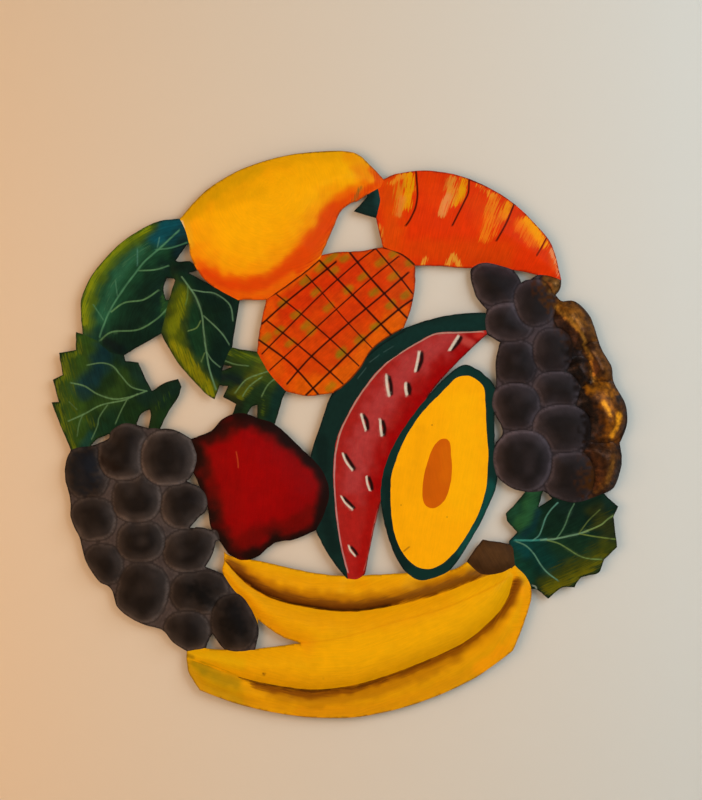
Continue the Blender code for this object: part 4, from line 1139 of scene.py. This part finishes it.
def rows_beside(lines, number):
    """Lays rows of places along the fine lines of a form, so that their edges come out crisp."""
    rows = [np.zeros((0, 2))]
    for _, _, half_width, points in lines:
        if len(points) == 1:
            ring = np.linspace(0, 2 * math.pi, 9)[:-1]
            for radius in (0, half_width * 0.55, half_width * 1.4):
                rows.append(np.array(points) + radius * np.column_stack([np.cos(ring), np.sin(ring)]))
            continue
        curve = curve_through(points, False, 12)
        run = np.concatenate([[0], np.cumsum(np.hypot(*np.diff(curve, axis=0).T))])
        at = np.linspace(0, run[-1], max(2, round(run[-1] / 1.4)))
        spine = np.column_stack([np.interp(at, run, curve[:, 0]), np.interp(at, run, curve[:, 1])])
        along = np.gradient(spine, axis=0)
        across = np.column_stack([-along[:, 1], along[:, 0]]) / np.hypot(*along.T)[:, None]
        for offset in (-1.4, -0.5, 0.5, 1.4):
            rows.append(spine + across * half_width * offset)
    rows = np.vstack(rows)
    return rows[inside(forms[number]["ring"], rows)]


def cut_sheet(outline_points, outline_lines, facet, with_rows):
    """Cuts the sheet into facets: places, triangles and the form that owns each triangle."""
    grid = lattice(facet, outline_points.min(axis=0), outline_points.max(axis=0))
    grid = grid[uppermost(grid) != OPEN]
    sets = [outline_points]
    if with_rows:
        rows = np.vstack([rows_beside(form["lines"], number) for number, form in enumerate(forms)])
        kept = []
        owner = uppermost(rows)
        start = 0
        for number, form in enumerate(forms):
            count = len(rows_beside(form["lines"], number))
            kept.append(rows[start:start + count][owner[start:start + count] == number])
            start += count
        rows = np.vstack(kept)
        rows = rows[nearest_to(rows, outline_points, outline_lines) > 0.5]
        tree = KDTree(len(rows))
        for number, (x, y) in enumerate(rows):
            tree.insert((x, y, 0), number)
        tree.balance()
        grid = grid[[tree.find((x, y, 0))[2] > 1.15 for x, y in grid]]
        sets.append(rows)
    grid = grid[nearest_to(grid, outline_points, outline_lines) > facet * 0.55]
    sets.append(grid)
    places, triangles, walls = triangulate(np.vstack(sets), [tuple(line) for line in outline_lines])
    owner = owners_of(places, triangles, walls)
    return places, triangles[owner != OPEN], owner[owner != OPEN]


def hammer(places, triangles, owner):
    """Works out how far each place stands forward, and its distance from the cuts and borders."""
    raised = np.array([number if form["flat_on"] is None else form["flat_on"]
                       for number, form in enumerate(forms)])[owner]
    bunch = np.array([OPEN if form["bunch"] is None else form["bunch"] for form in forms])[owner]
    sides, one, other = side_pairs(triangles)
    rim = other < 0
    border = rim | (raised[one] != raised[other])
    bunch_edge = (rim | (bunch[one] != bunch[other])) & ((bunch[one] != OPEN) | (bunch[other] != OPEN))
    from_cut = nearest_to(places, places, sides[rim])
    from_border = nearest_to(places, places, sides[border])
    from_bunch_edge = nearest_to(places, places, sides[bunch_edge])
    form_of_place = np.full(len(places), OPEN)
    form_of_place[triangles] = raised[:, None]
    in_bunch = np.zeros(len(places), bool)
    in_bunch[triangles[bunch != OPEN]] = True
    height = np.where(in_bunch, BUNCH_RISE * np.sin(np.clip(from_bunch_edge / BUNCH_SHOULDER, 0, 1)
                                                    * math.pi / 2), 0)
    for number, form in enumerate(forms):
        members = form_of_place == number
        share = np.clip(from_border[members] / form["shoulder"], 0, 1)
        height[members] += form["rise"] * np.sin(share * math.pi / 2)
    free = from_border > 1
    for _ in range(6):
        total = np.zeros(len(places))
        count = np.zeros(len(places))
        for a, b in ((0, 1), (1, 0)):
            np.add.at(total, sides[:, a], height[sides[:, b]])
            np.add.at(count, sides[:, a], 1)
        average = total / np.maximum(count, 1)
        height = np.where(free, (height + average) / 2, height)
    blows = (grain(places[:, 0], places[:, 1], 8, 61) - 0.5) * 0.5
    height += np.where(form_of_place == OPEN, 0, blows * fade(from_border, 0, 8) * (height > 0.5))
    return height, from_cut, from_border, sides[rim]


def in_frame(places, depth):
    """Takes pattern millimetres and a depth forward of the back to the shared frame's metres."""
    right = places[:, 0] - PATTERN_CENTRE[0]
    up = PATTERN_CENTRE[1] - places[:, 1]
    return np.column_stack([right, -depth, up]) / 1000


dark_steel = bpy.data.materials.new("dark_steel")
dark_steel.use_nodes = True
steel_nodes = dark_steel.node_tree.nodes
steel_links = dark_steel.node_tree.links
steel = steel_nodes["Principled BSDF"]
steel.inputs["Metallic"].default_value = 0.35
steel.inputs["Roughness"].default_value = 0.55
smoke = steel_nodes.new("ShaderNodeTexNoise")
smoke.inputs["Scale"].default_value = 28.0
smoke.inputs["Detail"].default_value = 8.0
scale = steel_nodes.new("ShaderNodeValToRGB")
scale.color_ramp.elements[0].position = 0.35
scale.color_ramp.elements[0].color = (0.022, 0.019, 0.017, 1)
scale.color_ramp.elements[1].position = 0.72
scale.color_ramp.elements[1].color = (0.085, 0.055, 0.035, 1)
steel_place = steel_nodes.new("ShaderNodeTexCoord")
steel_bump = steel_nodes.new("ShaderNodeBump")
steel_bump.inputs["Strength"].default_value = 0.35
steel_bump.inputs["Distance"].default_value = DENT_DEPTH
steel_links.new(steel_place.outputs["Object"], smoke.inputs["Vector"])
steel_links.new(smoke.outputs["Fac"], scale.inputs["Fac"])
steel_links.new(scale.outputs["Color"], steel.inputs["Base Color"])
steel_links.new(smoke.outputs["Fac"], steel_bump.inputs["Height"])
steel_links.new(steel_bump.outputs["Normal"], steel.inputs["Normal"])

for number, form in enumerate(forms):
    form["ring"] = ring_of(form["outline"], number)
starts = np.cumsum([0] + [len(form["ring"]) for form in forms])
ring_links = [(start + i, start + (i + 1) % len(form["ring"]))
              for start, form in zip(starts, forms) for i in range(len(form["ring"]))]
ring_points, ring_triangles, ring_walls = triangulate(np.vstack([form["ring"] for form in forms]), ring_links)
ring_owner = owners_of(ring_points, ring_triangles, ring_walls)
ring_sides, ring_one, ring_other = side_pairs(ring_triangles)
beyond = np.where(ring_other < 0, OPEN, ring_owner[ring_other])
parts_ways = ring_owner[ring_one] != beyond
used, ends = np.unique(ring_sides[parts_ways], return_inverse=True)
outline_points = ring_points[used]
outline_lines = ends.reshape(-1, 2)

front, front_triangles, front_owner = cut_sheet(outline_points, outline_lines, PAINTED_FACET, True)
front_height, front_cut, front_border, rim_sides = hammer(front, front_triangles, front_owner)
back, back_triangles, back_owner = cut_sheet(outline_points, outline_lines, BACK_FACET, False)
back_height, _, _, _ = hammer(back, back_triangles, back_owner)

back_number = {tuple(np.round(place, 4)): number + len(front) for number, place in enumerate(back)}
directed = {(a, b) for triangle in front_triangles.tolist()
            for a, b in zip(triangle, triangle[1:] + triangle[:1])}
rim_faces = []
for a, b in rim_sides.tolist():
    if (a, b) not in directed:
        a, b = b, a
    behind_a = back_number.get(tuple(np.round(front[a], 4)))
    behind_b = back_number.get(tuple(np.round(front[b], 4)))
    if behind_a is not None and behind_b is not None:
        rim_faces.append((a, b, behind_b, behind_a))

vertices = np.vstack([in_frame(front, front_height + THICKNESS), in_frame(back, back_height)])
front_faces = front_triangles[:, ::-1]
back_faces = back_triangles + len(front)
faces = front_faces.tolist() + back_faces.tolist() + rim_faces
mesh = bpy.data.meshes.new("painted_fruit_plate")
mesh.from_pydata(vertices.tolist(), [], faces)
plate = bpy.data.objects.new("painted_fruit_plate", mesh)
bpy.context.scene.collection.objects.link(plate)

finishes = list(dict.fromkeys(form["material"].name for form in forms)) + [dark_steel.name]
for finish in finishes:
    mesh.materials.append(bpy.data.materials[finish])
finish_of_form = np.array([finishes.index(form["material"].name) for form in forms])
slots = np.full(len(faces), len(finishes) - 1)
slots[:len(front_faces)] = finish_of_form[front_owner]
mesh.polygons.foreach_set("material_index", slots)

wet_paint = np.ones((len(mesh.loops), 4))
dry_paint = np.zeros((len(mesh.loops), 4))
bristle_run = np.zeros((len(mesh.loops), 4))
for number, form in enumerate(forms):
    members = np.flatnonzero(front_owner == number)
    if len(members):
        corners, back_to = np.unique(front_faces[members], return_inverse=True)
        x, y = front[corners].T
        wet, dry, cover = form["paint"](x, y, front_cut[corners], front_border[corners])
        along, across = form["bristle"](x, y)
        loops = (members[:, None] * 3 + np.arange(3)).ravel()
        back_to = back_to.ravel()
        wet_paint[loops, :3] = np.clip(wet, 0, 1)[back_to]
        dry_paint[loops, :3] = np.clip(dry, 0, 1)[back_to]
        dry_paint[loops, 3] = cover[back_to]
        bristle_run[loops, 0] = along[back_to]
        bristle_run[loops, 1] = across[back_to]
for layer_name, values in (("wet_paint", wet_paint), ("dry_paint", dry_paint), ("bristle_run", bristle_run)):
    layer = mesh.color_attributes.new(layer_name, "FLOAT_COLOR", "CORNER")
    layer.data.foreach_set("color", values.ravel())
mesh.shade_smooth()
mesh.set_sharp_from_angle(angle=math.radians(50))
print("plate", len(vertices), "points", len(faces), "faces",
      len(rim_faces), "of", len(rim_sides), "rim sides")

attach(plate, "root")
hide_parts("fruit_plate")


# Wall and floor. A pale plastered wall close behind the plate, with painted lamp light in its tone,
# warm on the left and cool on the right, clear to a look from behind, and a pale floor well below it.
WALL_GAP = 0.007
FLOOR_DROP = 0.80
PAINTED_LIGHT_REACH = 0.34


def stage_sheet(name, corners, left_painted_light, right_painted_light, one_sided):
    """Makes one flat pale sheet of the stage, with painted light in its tone passing gently from left to
    right.
    """
    sheet = bpy.data.meshes.new(name)
    sheet.from_pydata(corners, [], [(0, 1, 2, 3)])
    plain = bpy.data.materials.new(name)
    plain.use_nodes = True
    nodes = plain.node_tree.nodes
    shader = nodes["Principled BSDF"]
    shader.inputs["Roughness"].default_value = 0.9
    shader.inputs["Specular IOR Level"].default_value = 0.1
    side = nodes.new("ShaderNodeNewGeometry")
    across = nodes.new("ShaderNodeSeparateXYZ")
    share = nodes.new("ShaderNodeMapRange")
    share.inputs["From Min"].default_value = -PAINTED_LIGHT_REACH
    share.inputs["From Max"].default_value = PAINTED_LIGHT_REACH
    painted_light_tones = nodes.new("ShaderNodeMix")
    painted_light_tones.data_type = "RGBA"
    painted_light_tones.inputs[6].default_value = left_painted_light
    painted_light_tones.inputs[7].default_value = right_painted_light
    links = plain.node_tree.links
    links.new(side.outputs["Position"], across.inputs["Vector"])
    links.new(across.outputs["X"], share.inputs["Value"])
    links.new(share.outputs["Result"], painted_light_tones.inputs[0])
    links.new(painted_light_tones.outputs[2], shader.inputs["Base Color"])
    if one_sided:
        clear = nodes.new("ShaderNodeBsdfTransparent")
        either = nodes.new("ShaderNodeMixShader")
        links.new(side.outputs["Backfacing"], either.inputs["Fac"])
        links.new(shader.outputs["BSDF"], either.inputs[1])
        links.new(clear.outputs["BSDF"], either.inputs[2])
        links.new(either.outputs["Shader"], nodes["Material Output"].inputs["Surface"])
    sheet.materials.append(plain)
    thing = bpy.data.objects.new(name, sheet)
    bpy.context.scene.collection.objects.link(thing)
    return thing


# Painted light on the wall: warm lamp light on the left, cool daylight on the right.
wall = stage_sheet("wall", [(-3, WALL_GAP, -FLOOR_DROP), (3, WALL_GAP, -FLOOR_DROP), (3, WALL_GAP, 3),
                            (-3, WALL_GAP, 3)], (0.71, 0.555, 0.37, 1), (0.68, 0.68, 0.60, 1), True)
wall.visible_shadow = False
wall.visible_diffuse = False
# The floor carries a fainter painted light of the same kind.
stage_sheet("floor", [(-4, -4, -FLOOR_DROP), (4, -4, -FLOOR_DROP), (4, 4, -FLOOR_DROP),
                      (-4, 4, -FLOOR_DROP)], (0.76, 0.73, 0.68, 1), (0.72, 0.71, 0.68, 1), False)


# Light and camera. Warm lamp light from the left, cool daylight from the right and above, and a
# head-on camera at the photograph's framing.
def soft_light(name, place, size, power, tone):
    """Hangs a large soft lamp that points at the middle of the plate."""
    lamp = bpy.data.lights.new(name, "AREA")
    lamp.shape = "DISK"
    lamp.size = size
    lamp.energy = power
    lamp.color = tone
    holder = bpy.data.objects.new(name, lamp)
    holder.location = place
    direction = -np.array(place)
    yaw = math.atan2(direction[0], -direction[1])
    pitch = math.atan2(math.hypot(direction[0], direction[1]), -direction[2])
    holder.rotation_euler = (pitch, 0, yaw + math.pi)
    bpy.context.scene.collection.objects.link(holder)


soft_light("warm_lamp", (-1.0, -1.0, 0.0), 1.2, 10.7, (1.0, 0.575, 0.325))
soft_light("daylight", (1.1, -1.15, 0.6), 1.4, 18.5, (0.70, 0.83, 1.0))
soft_light("back_light", (0.9, 2.0, 1.0), 1.2, 22, (1.0, 0.97, 0.93))
world = bpy.data.worlds.new("room")
world.use_nodes = True
world.node_tree.nodes["Background"].inputs["Color"].default_value = (0.95, 0.90, 0.80, 1)
world.node_tree.nodes["Background"].inputs["Strength"].default_value = 0.35
bpy.context.scene.world = world
bpy.context.scene.view_settings.view_transform = "Standard"

CAMERA_DISTANCE = 2.0
FRAME_HEIGHT = 0.8
eye = bpy.data.cameras.new("camera")
eye.sensor_width = 36
eye.lens = 36 * CAMERA_DISTANCE / FRAME_HEIGHT
camera = bpy.data.objects.new("camera", eye)
camera.location = (0.011, -CAMERA_DISTANCE, 0.034)
camera.rotation_euler = (math.pi / 2, 0, 0)
bpy.context.scene.collection.objects.link(camera)
bpy.context.scene.camera = camera
